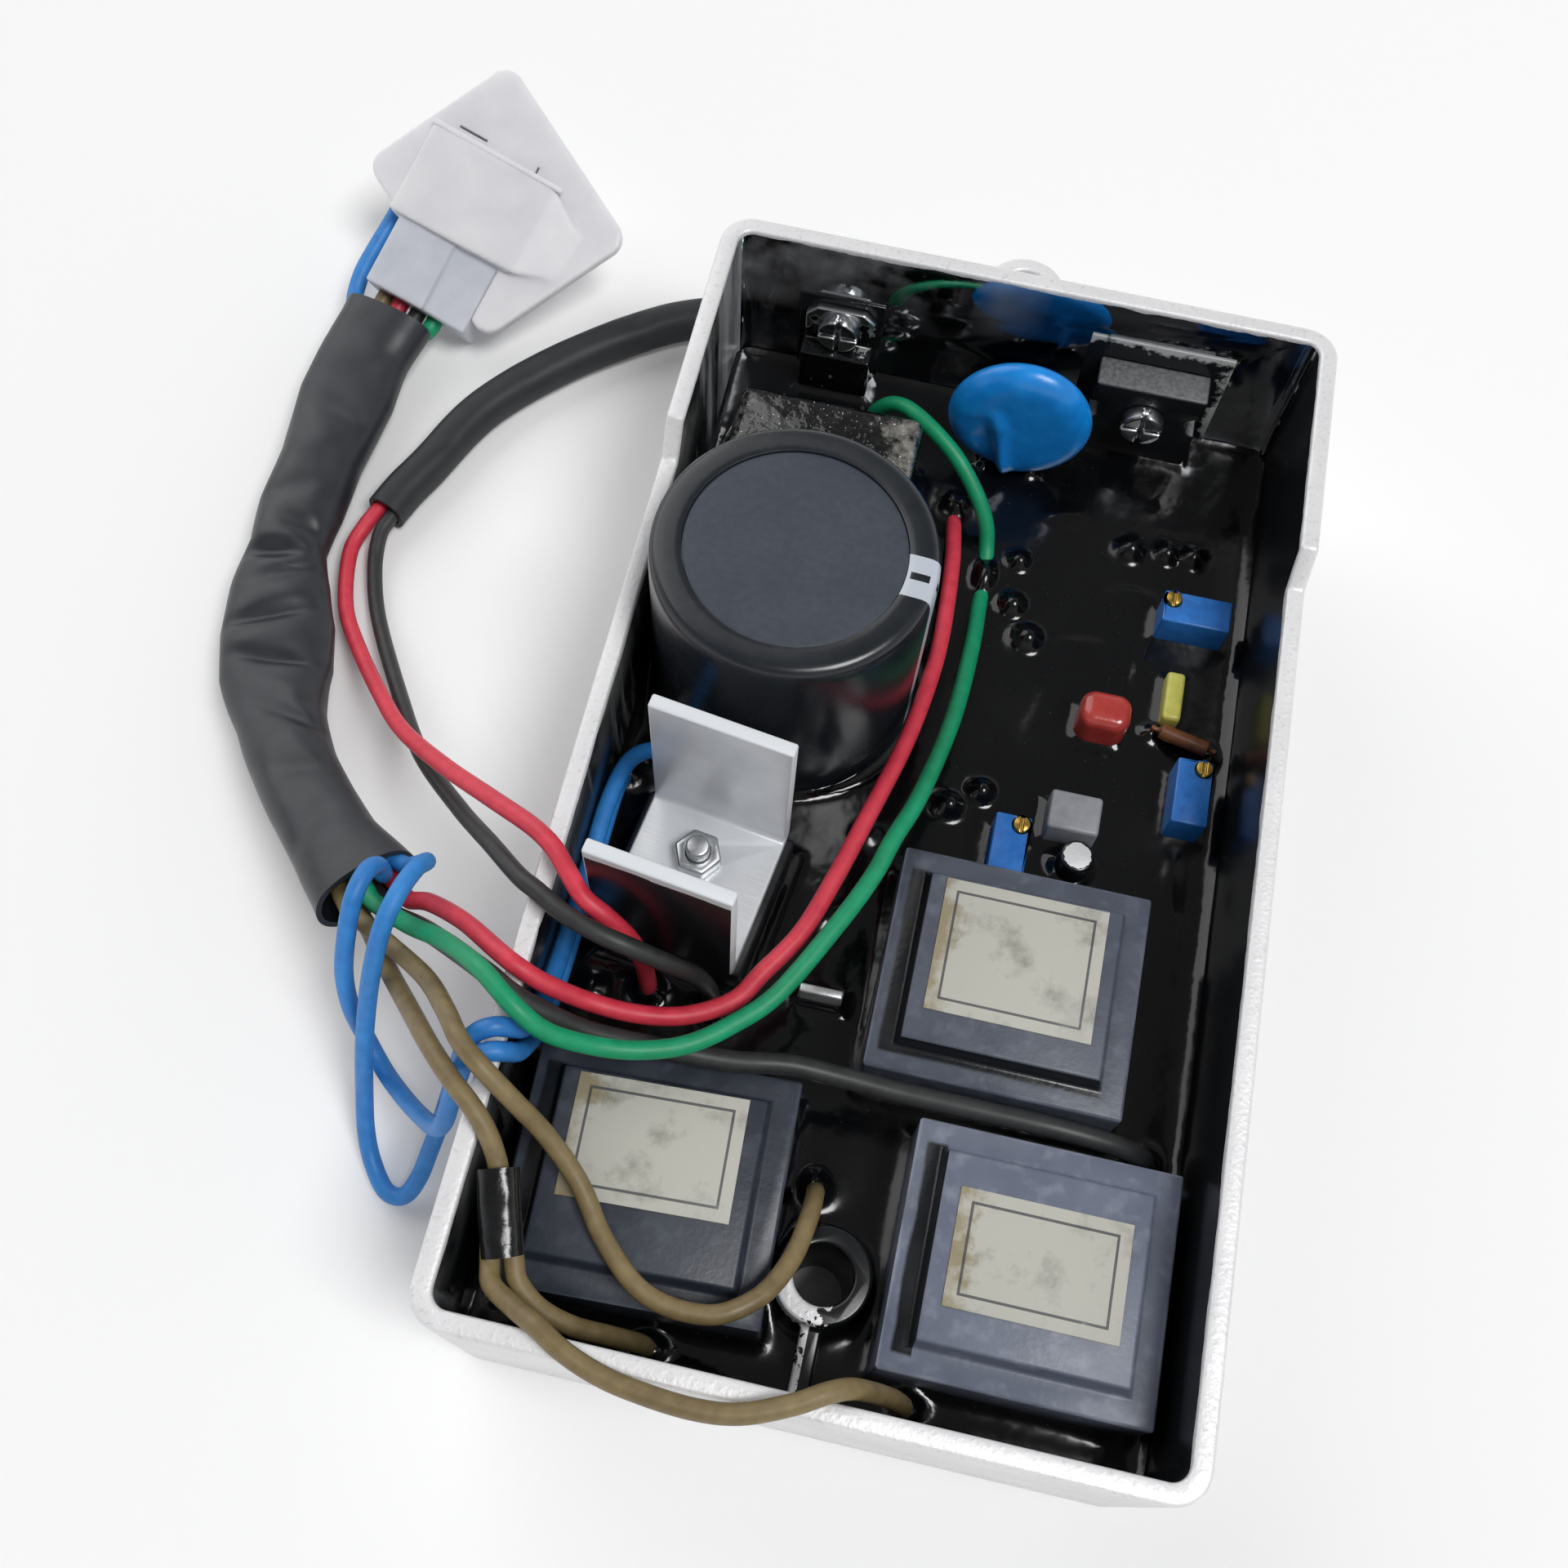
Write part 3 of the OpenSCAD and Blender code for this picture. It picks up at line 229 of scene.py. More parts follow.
# Poured epoxy resin: deep black, mirror-smooth, with a few dust specks and dull patches.
def potting_resin():
    material, tree, shader, place = blank("potting_epoxy_black", {"IOR": 1.52})
    cloud = add(tree, "TexNoise", {"Vector": place, "Scale": 0.07 / MM, "Detail": 3})
    fine = add(tree, "TexNoise", {"Vector": place, "Scale": 2.6 / MM, "Detail": 2})
    speck = add(tree, "MapRange", {"Value": fine, "From Min": 0.72, "From Max": 0.76})
    colour = add(tree, "Mix", {0: speck, 6: tint("#08090B"), 7: tint("#3A3C40")})
    rough = add(tree, "MapRange", {"Value": cloud, "From Min": 0.35, "From Max": 0.7, "To Min": 0.07,
                                   "To Max": 0.22})
    wave = add(tree, "TexNoise", {"Vector": place, "Scale": 0.26 / MM, "Detail": 2})
    height = add(tree, "Bump", {"Height": wave, "Distance": 0.0003, "Strength": 0.35})
    feed(tree, shader, {"Base Color": colour, "Roughness": rough, "Normal": height})
    return material


# Shrunk PVC sleeve on the can: near black, glossy, with a pale stripe of minus bars down one side.
def striped_sleeve(axis, heading, half_width):
    material, tree, shader, place = blank("pvc_shrink_sleeve_slate", {"IOR": 1.54})
    local = own_frame(tree, place, axis, heading)
    x, y, z = add(tree, "SeparateXYZ", [local]).outputs
    bar_pitch = 0.009
    bar_half_wide = 0.0005
    top_edge = 0.0462
    across = add(tree, "Math", [y], operation="ABSOLUTE")
    narrow = add(tree, "Math", [across, half_width], operation="LESS_THAN")
    front = add(tree, "Math", [x, 0.012], operation="GREATER_THAN")
    stripe = add(tree, "Math", [narrow, front], operation="MULTIPLY")
    step = add(tree, "Math", [z, bar_pitch], operation="MODULO")
    tall = add(tree, "Math", [step, bar_pitch / 2], operation="LESS_THAN")
    thin = add(tree, "Math", [across, bar_half_wide], operation="LESS_THAN")
    bar = add(tree, "Math", [tall, thin], operation="MULTIPLY")
    # On the rolled top the bar is only a short dash.
    side = add(tree, "Math", [z, top_edge], operation="LESS_THAN")
    dash = add(tree, "Math", [x, 0.0154, 0.0012], operation="COMPARE")
    shown = add(tree, "Math", [side, dash], operation="MAXIMUM")
    drawn_bar = add(tree, "Math", [bar, shown], operation="MULTIPLY")
    clear = add(tree, "Math", [1.0, drawn_bar], operation="SUBTRACT")
    pale = add(tree, "Math", [stripe, clear], operation="MULTIPLY")
    cloud = add(tree, "TexNoise", {"Vector": place, "Scale": 0.16 / MM, "Detail": 4})
    slate = add(tree, "Mix", {0: cloud, 6: tint("#14181C"), 7: tint("#1E232A")})
    colour = add(tree, "Mix", {0: pale, 6: slate, 7: tint("#B9C0CA")})
    rough = add(tree, "MapRange", {"Value": cloud, "To Min": 0.2, "To Max": 0.34})
    height = add(tree, "Bump", {"Height": cloud, "Distance": 0.0002, "Strength": 0.4})
    feed(tree, shader, {"Base Color": colour, "Roughness": rough, "Normal": height})
    return material


# Rolled aluminium sheet: bright faces with fine rolling lines, white sawn edges.
def rolled_aluminium(centre, angle, half_width, half_length, top):
    material, tree, shader, place = blank("aluminium_rolled_sheet", {})
    local = own_frame(tree, place, centre, angle)
    x, y, z = add(tree, "SeparateXYZ", [local]).outputs
    sawn_skin = 0.0002
    across = add(tree, "Math", [x], operation="ABSOLUTE")
    end = add(tree, "Math", [across, half_width - sawn_skin], operation="GREATER_THAN")
    tip = add(tree, "Math", [z, top - sawn_skin], operation="GREATER_THAN")
    sawn = add(tree, "Math", [end, tip], operation="MAXIMUM")
    drawn = add(tree, "Mapping", {"Vector": local, "Scale": (0.04, 1, 1)})
    lines = add(tree, "TexNoise", {"Vector": drawn, "Scale": 3.2 / MM, "Detail": 4})
    cloud = add(tree, "TexNoise", {"Vector": place, "Scale": 0.14 / MM, "Detail": 4})
    bright = add(tree, "Mix", {0: cloud, 6: tint("#C6CACF"), 7: tint("#ECEEF1")})
    # The outside of the near flange is painted near black below a ragged line, as painted shade.
    outside = add(tree, "Math", [y, 0.0001 - half_length], operation="LESS_THAN")
    ragged = add(tree, "Math", [cloud, 0.003, top - 0.0032], operation="MULTIPLY_ADD")
    below_shade_line = add(tree, "Math", [z, ragged], operation="LESS_THAN")
    # Painted shade on the near flange's outer face.
    blackened = add(tree, "Math", [outside, below_shade_line], operation="MULTIPLY")
    face = add(tree, "Mix", {0: blackened, 6: bright, 7: tint("#15171A")})
    colour = add(tree, "Mix", {0: sawn, 6: face, 7: tint("#DADDE1")})
    bare = add(tree, "MapRange", {"Value": sawn, "To Min": 0.35, "To Max": 0.2})
    metallic = add(tree, "Math", [blackened, -0.35, bare], operation="MULTIPLY_ADD")
    polish = add(tree, "MapRange", {"Value": lines, "To Min": 0.24, "To Max": 0.38})
    rough = add(tree, "Math", [sawn, 0.3, polish], operation="MULTIPLY_ADD")
    height = add(tree, "Bump", {"Height": lines, "Distance": 0.00003})
    feed(tree, shader, {"Base Color": colour, "Metallic": metallic, "Roughness": rough, "Normal": height})
    return material


# Label paper: cream, glued, with resin stains and a thin printed frame.
def label_paper(name, centre, angle, size):
    material, tree, shader, place = blank(name, {"IOR": 1.45})
    local = own_frame(tree, place, centre, angle)
    x, y, _ = add(tree, "SeparateXYZ", [local]).outputs
    across = add(tree, "Math", [x], operation="ABSOLUTE")
    along = add(tree, "Math", [y], operation="ABSOLUTE")
    left = add(tree, "Math", [across, size[0] / 2], operation="SUBTRACT")
    near = add(tree, "Math", [along, size[1] / 2], operation="SUBTRACT")
    rim = add(tree, "Math", [left, near], operation="MAXIMUM")
    line = add(tree, "Math", [rim, -0.0016, 0.00016], operation="COMPARE")
    faded = add(tree, "Math", [line, 0.85], operation="MULTIPLY")
    blot = add(tree, "TexNoise", {"Vector": place, "Scale": 0.15 / MM, "Detail": 6, "Roughness": 0.65})
    stain = add(tree, "MapRange", {"Value": blot, "From Min": 0.52, "From Max": 0.68})
    # Glue has crept in from the left side and browned the paper.
    from_left = add(tree, "MapRange", {"Value": x, "From Min": -size[0] / 2, "From Max": -size[0] * 0.18,
                                       "To Min": 0.35, "To Max": -0.1})
    crept = add(tree, "Math", [blot, from_left], operation="ADD")
    brown = add(tree, "MapRange", {"Value": crept, "From Min": 0.68, "From Max": 0.82, "To Max": 0.75})
    paper = add(tree, "Mix", {0: stain, 6: tint("#B9B8AF"), 7: tint("#93938A")})
    aged = add(tree, "Mix", {0: brown, 6: paper, 7: tint("#8A7B54")})
    colour = add(tree, "Mix", {0: faded, 6: aged, 7: tint("#3A3D44")})
    rough = add(tree, "MapRange", {"Value": stain, "To Min": 0.6, "To Max": 0.25})
    height = add(tree, "Bump", {"Height": blot, "Distance": 0.00012})
    feed(tree, shader, {"Base Color": colour, "Roughness": rough, "Normal": height})
    return material


# Filled nylon of a transformer case: slate, fine grain; the step beside the panel is painted near black
# on its left side, and on its near side where asked, as the panel's painted shadow.
def case_plastic(name, centre, angle, tones, near_end):
    material, tree, shader, place = blank(name, {"IOR": 1.5})
    local = own_frame(tree, place, centre, angle)
    x, y, z = add(tree, "SeparateXYZ", [local]).outputs
    shoulder_half_wide = 0.01515
    shoulder_half_long = 0.01380
    shoulder_foot = 0.0234
    panel_foot = 0.02642
    cloud = add(tree, "TexNoise", {"Vector": place, "Scale": 0.17 / MM, "Detail": 5})
    grit = add(tree, "TexNoise", {"Vector": place, "Scale": 1.4 / MM, "Detail": 4})
    wander = add(tree, "Math", [cloud, 0.0008, -0.0004], operation="MULTIPLY_ADD")
    across = add(tree, "Math", [x, wander], operation="ADD")
    along = add(tree, "Math", [y, wander], operation="ADD")
    left_in = add(tree, "MapRange", {"Value": across, "From Min": -0.0146, "From Max": -0.0142})
    left_out = add(tree, "MapRange", {"Value": x, "From Min": -0.0120, "From Max": -0.0119, "To Min": 1.0,
                                      "To Max": 0.0})
    far_end = add(tree, "MapRange", {"Value": along, "From Min": 0.0114, "From Max": 0.0118,
                                     "To Min": 1.0, "To Max": 0.0})
    low_end = add(tree, "MapRange", {"Value": along, "From Min": -0.0124, "From Max": -0.0120})
    near_out = add(tree, "MapRange", {"Value": y, "From Min": -0.0107, "From Max": -0.0106,
                                      "To Min": near_end, "To Max": 0.0})
    right_end = add(tree, "MapRange", {"Value": across, "From Min": 0.0122, "From Max": 0.0128,
                                       "To Min": 1.0, "To Max": 0.0})
    side = add(tree, "Math", [left_out, far_end], operation="MULTIPLY")
    end = add(tree, "Math", [near_out, right_end], operation="MULTIPLY")
    either = add(tree, "Math", [side, end], operation="MAXIMUM")
    rim = add(tree, "Math", [left_in, low_end], operation="MULTIPLY")
    low = add(tree, "Math", [z, panel_foot], operation="LESS_THAN")
    held = add(tree, "Math", [either, rim], operation="MULTIPLY")
    # Painted shadow: this mask paints the step beside the panel near black.
    painted_shade = add(tree, "Math", [held, low], operation="MULTIPLY")
    slate = add(tree, "Mix", {0: cloud, 6: tint(tones[0]), 7: tint(tones[1])})
    # The shoulder's outer edges are pale, partly rubbed and partly a painted highlight, and the faces are
    # scuffed here and there.
    wide = add(tree, "Math", [x], operation="ABSOLUTE")
    deep = add(tree, "Math", [y], operation="ABSOLUTE")
    past_side = add(tree, "Math", [wide, shoulder_half_wide], operation="SUBTRACT")
    past_end = add(tree, "Math", [deep, shoulder_half_long], operation="SUBTRACT")
    past = add(tree, "Math", [past_side, past_end], operation="MAXIMUM")
    fray = add(tree, "Math", [cloud, 0.0012, past], operation="MULTIPLY_ADD")
    rubbed_and_lit = add(tree, "MapRange", {"Value": fray, "From Min": 0.0007, "From Max": 0.0012, "To Max": 0.6})
    high = add(tree, "Math", [z, shoulder_foot], operation="GREATER_THAN")
    worn_and_lit = add(tree, "Math", [rubbed_and_lit, high], operation="MULTIPLY")
    smear = add(tree, "TexNoise", {"Vector": local, "Scale": 0.42 / MM, "Detail": 6})
    scuff = add(tree, "MapRange", {"Value": smear, "From Min": 0.52, "From Max": 0.8, "To Max": 0.42})
    pale = add(tree, "Math", [worn_and_lit, scuff], operation="MAXIMUM")
    handled = add(tree, "Mix", {0: pale, 6: slate, 7: tint(tones[2])})
    colour = add(tree, "Mix", {0: painted_shade, 6: handled, 7: tint("#101216")})
    satin = add(tree, "MapRange", {"Value": cloud, "From Min": 0.3, "From Max": 0.7, "To Min": 0.34,
                                   "To Max": 0.5})
    rough = add(tree, "Math", [painted_shade, -0.12, satin], operation="MULTIPLY_ADD")
    height = add(tree, "Bump", {"Height": grit, "Distance": 0.00003})
    feed(tree, shader, {"Base Color": colour, "Roughness": rough, "Normal": height})
    return material


# Moulded epoxy with pale dust on the faces that look up.
def dusty_epoxy():
    material, tree, shader, place = blank("epoxy_moulded_dusty", {"IOR": 1.55})
    facing = add(tree, "NewGeometry").outputs["Normal"]
    z = add(tree, "SeparateXYZ", [facing]).outputs["Z"]
    up = add(tree, "MapRange", {"Value": z, "From Min": 0.5, "From Max": 0.95})
    grit = add(tree, "TexNoise", {"Vector": place, "Scale": 1.6 / MM, "Detail": 5})
    cloud = add(tree, "TexNoise", {"Vector": place, "Scale": 0.22 / MM, "Detail": 3})
    body = add(tree, "Mix", {0: cloud, 6: tint("#0F1012"), 7: tint("#1D1F22")})
    fleck = add(tree, "MapRange", {"Value": grit, "From Min": 0.3, "From Max": 0.65, "To Min": 0.45,
                                   "To Max": 1.0})
    cover = add(tree, "Math", [up, fleck], operation="MULTIPLY")
    colour = add(tree, "Mix", {0: cover, 6: body, 7: tint("#707274")})
    rough = add(tree, "MapRange", {"Value": cover, "To Min": 0.22, "To Max": 0.65})
    height = add(tree, "Bump", {"Height": grit, "Distance": 0.00004})
    feed(tree, shader, {"Base Color": colour, "Roughness": rough, "Normal": height})
    return material


# Tinned tab under a broken skin of black coating: bare metal towards its upper end.
def worn_tab(low, high):
    material, tree, shader, place = blank("tinned_tab_coated", {"IOR": 1.6})
    z = add(tree, "SeparateXYZ", [place]).outputs["Z"]
    upward = add(tree, "MapRange", {"Value": z, "From Min": low, "From Max": high, "To Max": 0.45})
    ragged = add(tree, "TexNoise", {"Vector": place, "Scale": 0.52 / MM, "Detail": 3})
    both = add(tree, "Math", [ragged, upward], operation="ADD")
    bare = add(tree, "MapRange", {"Value": both, "From Min": 0.7, "From Max": 0.76})
    colour = add(tree, "Mix", {0: bare, 6: tint("#0C0D0F"), 7: tint("#DCDEE0")})
    rough = add(tree, "MapRange", {"Value": bare, "To Min": 0.07, "To Max": 0.24})
    height = add(tree, "Bump", {"Height": ragged, "Distance": 0.0001})
    feed(tree, shader, {"Base Color": colour, "Metallic": bare, "Roughness": rough, "Normal": height})
    return material


# Silicone pad drowned in coating: dark, its upper and right edges show white and torn.
def coated_pad(right, top):
    material, tree, shader, place = blank("silicone_pad_coated", {"IOR": 1.5})
    x, _, z = add(tree, "SeparateXYZ", [place]).outputs
    torn_edge = 0.0022
    ragged = add(tree, "TexNoise", {"Vector": place, "Scale": 0.42 / MM, "Detail": 5, "Roughness": 0.7})
    beside = add(tree, "MapRange", {"Value": x, "From Min": right - torn_edge, "From Max": right,
                                    "To Max": 0.3})
    above = add(tree, "MapRange", {"Value": z, "From Min": top - torn_edge, "From Max": top,
                                   "To Max": 0.36})
    near = add(tree, "Math", [beside, above], operation="MAXIMUM")
    both = add(tree, "Math", [ragged, near], operation="ADD")
    white = add(tree, "MapRange", {"Value": both, "From Min": 0.64, "From Max": 0.76})
    half = add(tree, "Math", [x, 0.0], operation="GREATER_THAN")
    torn = add(tree, "Math", [white, half], operation="MULTIPLY")
    colour = add(tree, "Mix", {0: torn, 6: tint("#1A1B1D"), 7: tint("#B4B6B6")})
    rough = add(tree, "MapRange", {"Value": torn, "To Min": 0.12, "To Max": 0.5})
    height = add(tree, "Bump", {"Height": ragged, "Distance": 0.0001})
    feed(tree, shader, {"Base Color": colour, "Roughness": rough, "Normal": height})
    return material


# Small can in a black sleeve whose aluminium top lies bare.
def bare_topped(axis, radius, top):
    material, tree, shader, place = blank("small_can_bare_top", {"IOR": 1.54})
    local = add(tree, "Mapping", {"Vector": place, "Location": (-axis[0], -axis[1], 0),
                                  "Scale": (1, 1, 0)})
    out = add(tree, "VectorMath", [local], operation="LENGTH")
    ragged = add(tree, "TexNoise", {"Vector": place, "Scale": 1.5 / MM, "Detail": 3})
    reach = add(tree, "Math", [ragged, 0.0006, radius - 0.0003], operation="MULTIPLY_ADD")
    within = add(tree, "Math", [out, reach], operation="LESS_THAN")
    z = add(tree, "SeparateXYZ", [place]).outputs["Z"]
    high = add(tree, "Math", [z, top - 0.0003], operation="GREATER_THAN")
    bare = add(tree, "Math", [within, high], operation="MULTIPLY")
    colour = add(tree, "Mix", {0: bare, 6: tint("#121316"), 7: tint("#E6E7E8")})
    metallic = add(tree, "Math", [bare, 0.6], operation="MULTIPLY")
    rough = add(tree, "MapRange", {"Value": bare, "To Min": 0.2, "To Max": 0.42})
    height = add(tree, "Bump", {"Height": ragged, "Distance": 0.00004})
    feed(tree, shader, {"Base Color": colour, "Metallic": metallic, "Roughness": rough, "Normal": height})
    return material


# Film capacitor under a thick skin of clear resin: black, with dust caught in it; its upward faces are
# painted pale at both ends, partly haze in the resin and partly a painted reflection.
def resin_skin(left, right):
    material, tree, shader, place = blank("epoxy_under_clear_resin", {"IOR": 1.52, "Coat Weight": 0.5})
    x = add(tree, "SeparateXYZ", [place]).outputs["X"]
    fine = add(tree, "TexNoise", {"Vector": place, "Scale": 2.3 / MM, "Detail": 2})
    ragged = add(tree, "TexNoise", {"Vector": place, "Scale": 0.42 / MM, "Detail": 5, "Roughness": 0.7})
    wave = add(tree, "TexNoise", {"Vector": place, "Scale": 0.33 / MM, "Detail": 3})
    to_right = add(tree, "MapRange", {"Value": x, "From Min": right - 0.010, "From Max": right - 0.003,
                                      "To Max": 0.26})
    to_left = add(tree, "MapRange", {"Value": x, "From Min": left, "From Max": left + 0.004,
                                     "To Min": 0.28, "To Max": 0.0})
    ends = add(tree, "Math", [to_right, to_left], operation="MAXIMUM")
    both = add(tree, "Math", [ragged, ends], operation="ADD")
    facing = add(tree, "NewGeometry").outputs["Normal"]
    up = add(tree, "SeparateXYZ", [facing]).outputs["Z"]
    level = add(tree, "MapRange", {"Value": up, "From Min": 0.5, "From Max": 0.9})
    cloudy_and_lit = add(tree, "MapRange", {"Value": both, "From Min": 0.66, "From Max": 0.92, "To Max": 0.85})
    # Painted reflection and haze: pale only on faces that look up.
    haze_and_reflection = add(tree, "Math", [cloudy_and_lit, level], operation="MULTIPLY")
    speck = add(tree, "MapRange", {"Value": fine, "From Min": 0.69, "From Max": 0.72})
    body = add(tree, "Mix", {0: haze_and_reflection, 6: tint("#0B0C0E"), 7: tint("#9A9890")})
    colour = add(tree, "Mix", {0: speck, 6: body, 7: tint("#E4E4E0")})
    rough = add(tree, "MapRange", {"Value": haze_and_reflection, "To Min": 0.08, "To Max": 0.3})
    height = add(tree, "Bump", {"Height": wave, "Distance": 0.0006, "Strength": 0.7})
    feed(tree, shader, {"Base Color": colour, "Roughness": rough, "Normal": height})
    return material


# Extruded PVC insulation: even colour, soft gloss, faint drag lines and dust.
def insulation(name, dark, light):
    return grained(name, dark, light, 1.6, (0.42, 0.56), 0.015, {"IOR": 1.5})


# Leads of the main bundle and the pair.
RED = insulation("pvc_insulation_red", "#C42B40", "#DE4052")
GREEN = insulation("pvc_insulation_green", "#058658", "#0A9C6C")
BLUE = insulation("pvc_insulation_blue", "#246FB8", "#3186D0")
BROWN = insulation("pvc_insulation_brown", "#6C5C3E", "#877650")
BLACK = insulation("pvc_insulation_black", "#232425", "#343536")
# Shrunk sleeving over the leads: near black, satin, bluish where it catches the light.
SLEEVING = grained("polyolefin_sleeving_black", "#1F2226", "#2C3036", 3.0, (0.34, 0.48), 0.02,
                   {"IOR": 1.5})
# The same in a thicker wall on the round bundle: darker and duller.
ROUND_SLEEVING = grained("polyolefin_sleeving_matt", "#15171A", "#202327", 3.0, (0.5, 0.62), 0.02,
                         {"IOR": 1.5})
# Insulating tape round the joint: black and shiny.
TAPE = grained("pvc_tape_black", "#0D0E0F", "#1A1B1D", 1.2, (0.12, 0.26), 0.08, {"IOR": 1.53})
# Moulded nylon of the housing: milky, bluish in the shade, light goes a little way in.
NYLON = grained("nylon_moulded_white", "#BCC0CA", "#CED1D9", 4.0, (0.26, 0.4), 0.03,
                {"IOR": 1.53, "Subsurface Weight": 0.3, "Subsurface Scale": 0.002,
                 "Subsurface Radius": (1, 1, 1)})
# Thinner nylon of the hood: clearer and whiter.
HOOD_NYLON = grained("nylon_thin_translucent", "#D2D2D6", "#DEDEE1", 5.0, (0.42, 0.52), 0.02,
                     {"IOR": 1.53, "Subsurface Weight": 0.5, "Subsurface Scale": 0.003,
                      "Subsurface Radius": (1, 1, 1)})
CASTING = coated_casting()
RESIN = potting_resin()
SHEET = rolled_aluminium((-0.0259, -0.01525), math.radians(-8), half_width=0.009, half_length=0.0105,
                         top=0.0465)
# Dipped epoxy: thick, glossy, slightly uneven.
BLUE_DIP = grained("epoxy_dip_blue", "#0A78CC", "#1892EA", 3.0, (0.24, 0.34), 0.06, {"IOR": 1.55})
RED_DIP = grained("epoxy_dip_red", "#A63531", "#C24A45", 2.0, (0.2, 0.32), 0.08,
                  {"IOR": 1.55, "Coat Weight": 0.4})
# Moulded polyester of the yellow capacitor: even, soft gloss.
YELLOW_DIP = grained("polyester_yellow", "#B9B650", "#D2D06C", 1.5, (0.3, 0.42), 0.04, {"IOR": 1.53})
# Moulded polyester box: plain grey, satin.
GREY_BOX = grained("polyester_box_grey", "#83858B", "#989AA0", 1.5, (0.35, 0.5), 0.04, {"IOR": 1.53})
# Trimmer body: glass-filled polyester, moulded blue.
TRIM_BLUE = grained("polyester_trimmer_blue", "#2260AE", "#2F7CD0", 1.2, (0.25, 0.38), 0.03,
                    {"IOR": 1.55})
# Turned brass of the adjusting screws: yellow and bright.
BRASS = grained("brass_turned", "#B08A3C", "#D6B25E", 0.5, (0.22, 0.36), 0.01, {"Metallic": 1.0})
# Zinc-plated steel of screws and nut: bluish white, bright, with a fine grain.
ZINC = grained("steel_zinc_plated", "#A9ACAF", "#D0D2D4", 0.6, (0.22, 0.38), 0.015, {"Metallic": 1.0})
# Solder-dipped strip: pale and satin.
TIN = grained("brass_solder_dipped", "#C4C6C8", "#E2E3E4", 0.9, (0.3, 0.45), 0.05, {"Metallic": 0.7})
COATED = resin_skin(left=-0.0363, right=-0.0100)
# Moulded epoxy of the rectifier: black, fine satin grain.
EPOXY = grained("epoxy_moulded_black", "#131417", "#24262A", 0.5, (0.3, 0.45), 0.03, {"IOR": 1.55})
DUSTY = dusty_epoxy()
TAB = worn_tab(low=0.0215, high=0.0274)
PAD = coated_pad(right=0.0309, top=0.0318)
SMALL_CAN = bare_topped((0.0216, 0.0001), radius=0.0018, top=0.018)
# Fibre disc on the capacitor's end: slate, dull and even.
DISC = grained("fibre_disc_grey", "#2F3540", "#3A414D", 1.0, (0.5, 0.62), 0.02, {"IOR": 1.5})
# Drawn aluminium of the can: pale, smooth metal.
ALUMINIUM = grained("aluminium_drawn_can", "#B9BBBE", "#D4D6D8", 1.0, (0.25, 0.4), 0.01,
                    {"Metallic": 1.0})
# Solder mask on the board: dark green, glossy.
MASK = grained("fr4_solder_mask_green", "#0F3D22", "#17522F", 2.0, (0.3, 0.45), 0.02, {"IOR": 1.5})
# Silicon steel sheets of the cores: dark grey metal.
LAMINATE = grained("silicon_steel_laminations", "#55585C", "#7B7E82", 0.5, (0.35, 0.5), 0.03,
                   {"Metallic": 1.0})
# Enamelled copper wire of the coils: warm brown gloss.
COPPER = grained("copper_enamelled", "#8A4A22", "#B8692F", 0.6, (0.25, 0.4), 0.06, {"Metallic": 0.8})
# Phenolic body of the axial diode: brown, satin.
BROWN_BODY = grained("phenolic_brown", "#5E3418", "#7C4A26", 1.0, (0.3, 0.45), 0.04, {"IOR": 1.55})


# Shaping
def alone(obj):
    """Only this object selected, and active."""
    bpy.ops.object.select_all(action="DESELECT")
    obj.select_set(True)
    bpy.context.view_layer.objects.active = obj


def open_mesh(obj):
    """Edit mode with the whole mesh selected."""
    alone(obj)
    bpy.ops.object.mode_set(mode="EDIT")
    bpy.ops.mesh.select_all(action="SELECT")


def close_mesh():
    """Back to object mode."""
    bpy.ops.object.mode_set(mode="OBJECT")


def shade(angle):
    """Smooth shading over edges flatter than so many degrees."""
    bpy.ops.object.shade_smooth_by_angle(angle=math.radians(angle))


def shaped(obj, kind, **settings):
    """One modifier, set and applied."""
    step = obj.modifiers.new("step", kind)
    for key, value in settings.items():
        setattr(step, key, value)
    alone(obj)
    bpy.ops.object.modifier_apply(modifier="step")
    return obj


def settle(obj, finish, slot, *nodes, body=BODY):
    """Gives a finished piece its material, its body and the solids it stands for."""
    obj.data.materials.clear()
    obj.data.materials.append(finish)
    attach(obj, body)
    if nodes:
        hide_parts(*nodes)
    return obj


def copied(node):
    """A merged copy of a solid's own shape."""
    obj = linked(node + "_dressed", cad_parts[node].data.copy())
    open_mesh(obj)
    bpy.ops.mesh.remove_doubles(threshold=MERGE)
    bpy.ops.mesh.dissolve_limited(angle_limit=math.radians(0.5))
    close_mesh()
    return obj


def melted(obj, voxel, rounds):
    """Round a solid off all over: an even mesh of so many millimetres, smoothed a few times."""
    shaped(obj, "REMESH", mode="VOXEL", voxel_size=voxel * MM)
    shaped(obj, "SMOOTH", factor=0.5, iterations=rounds)
    shade(40)
    return obj


def dress(node, width, segments, finish, slot, limit=30, body=BODY):
    """A solid's own shape with its sharp edges rounded by so many millimetres, in the solid's place."""
    obj = shaped(copied(node), "BEVEL", width=width * MM, segments=segments, limit_method="ANGLE",
                 angle_limit=math.radians(limit), use_clamp_overlap=False)
    shade(35)
    return settle(obj, finish, slot, node, body=body)


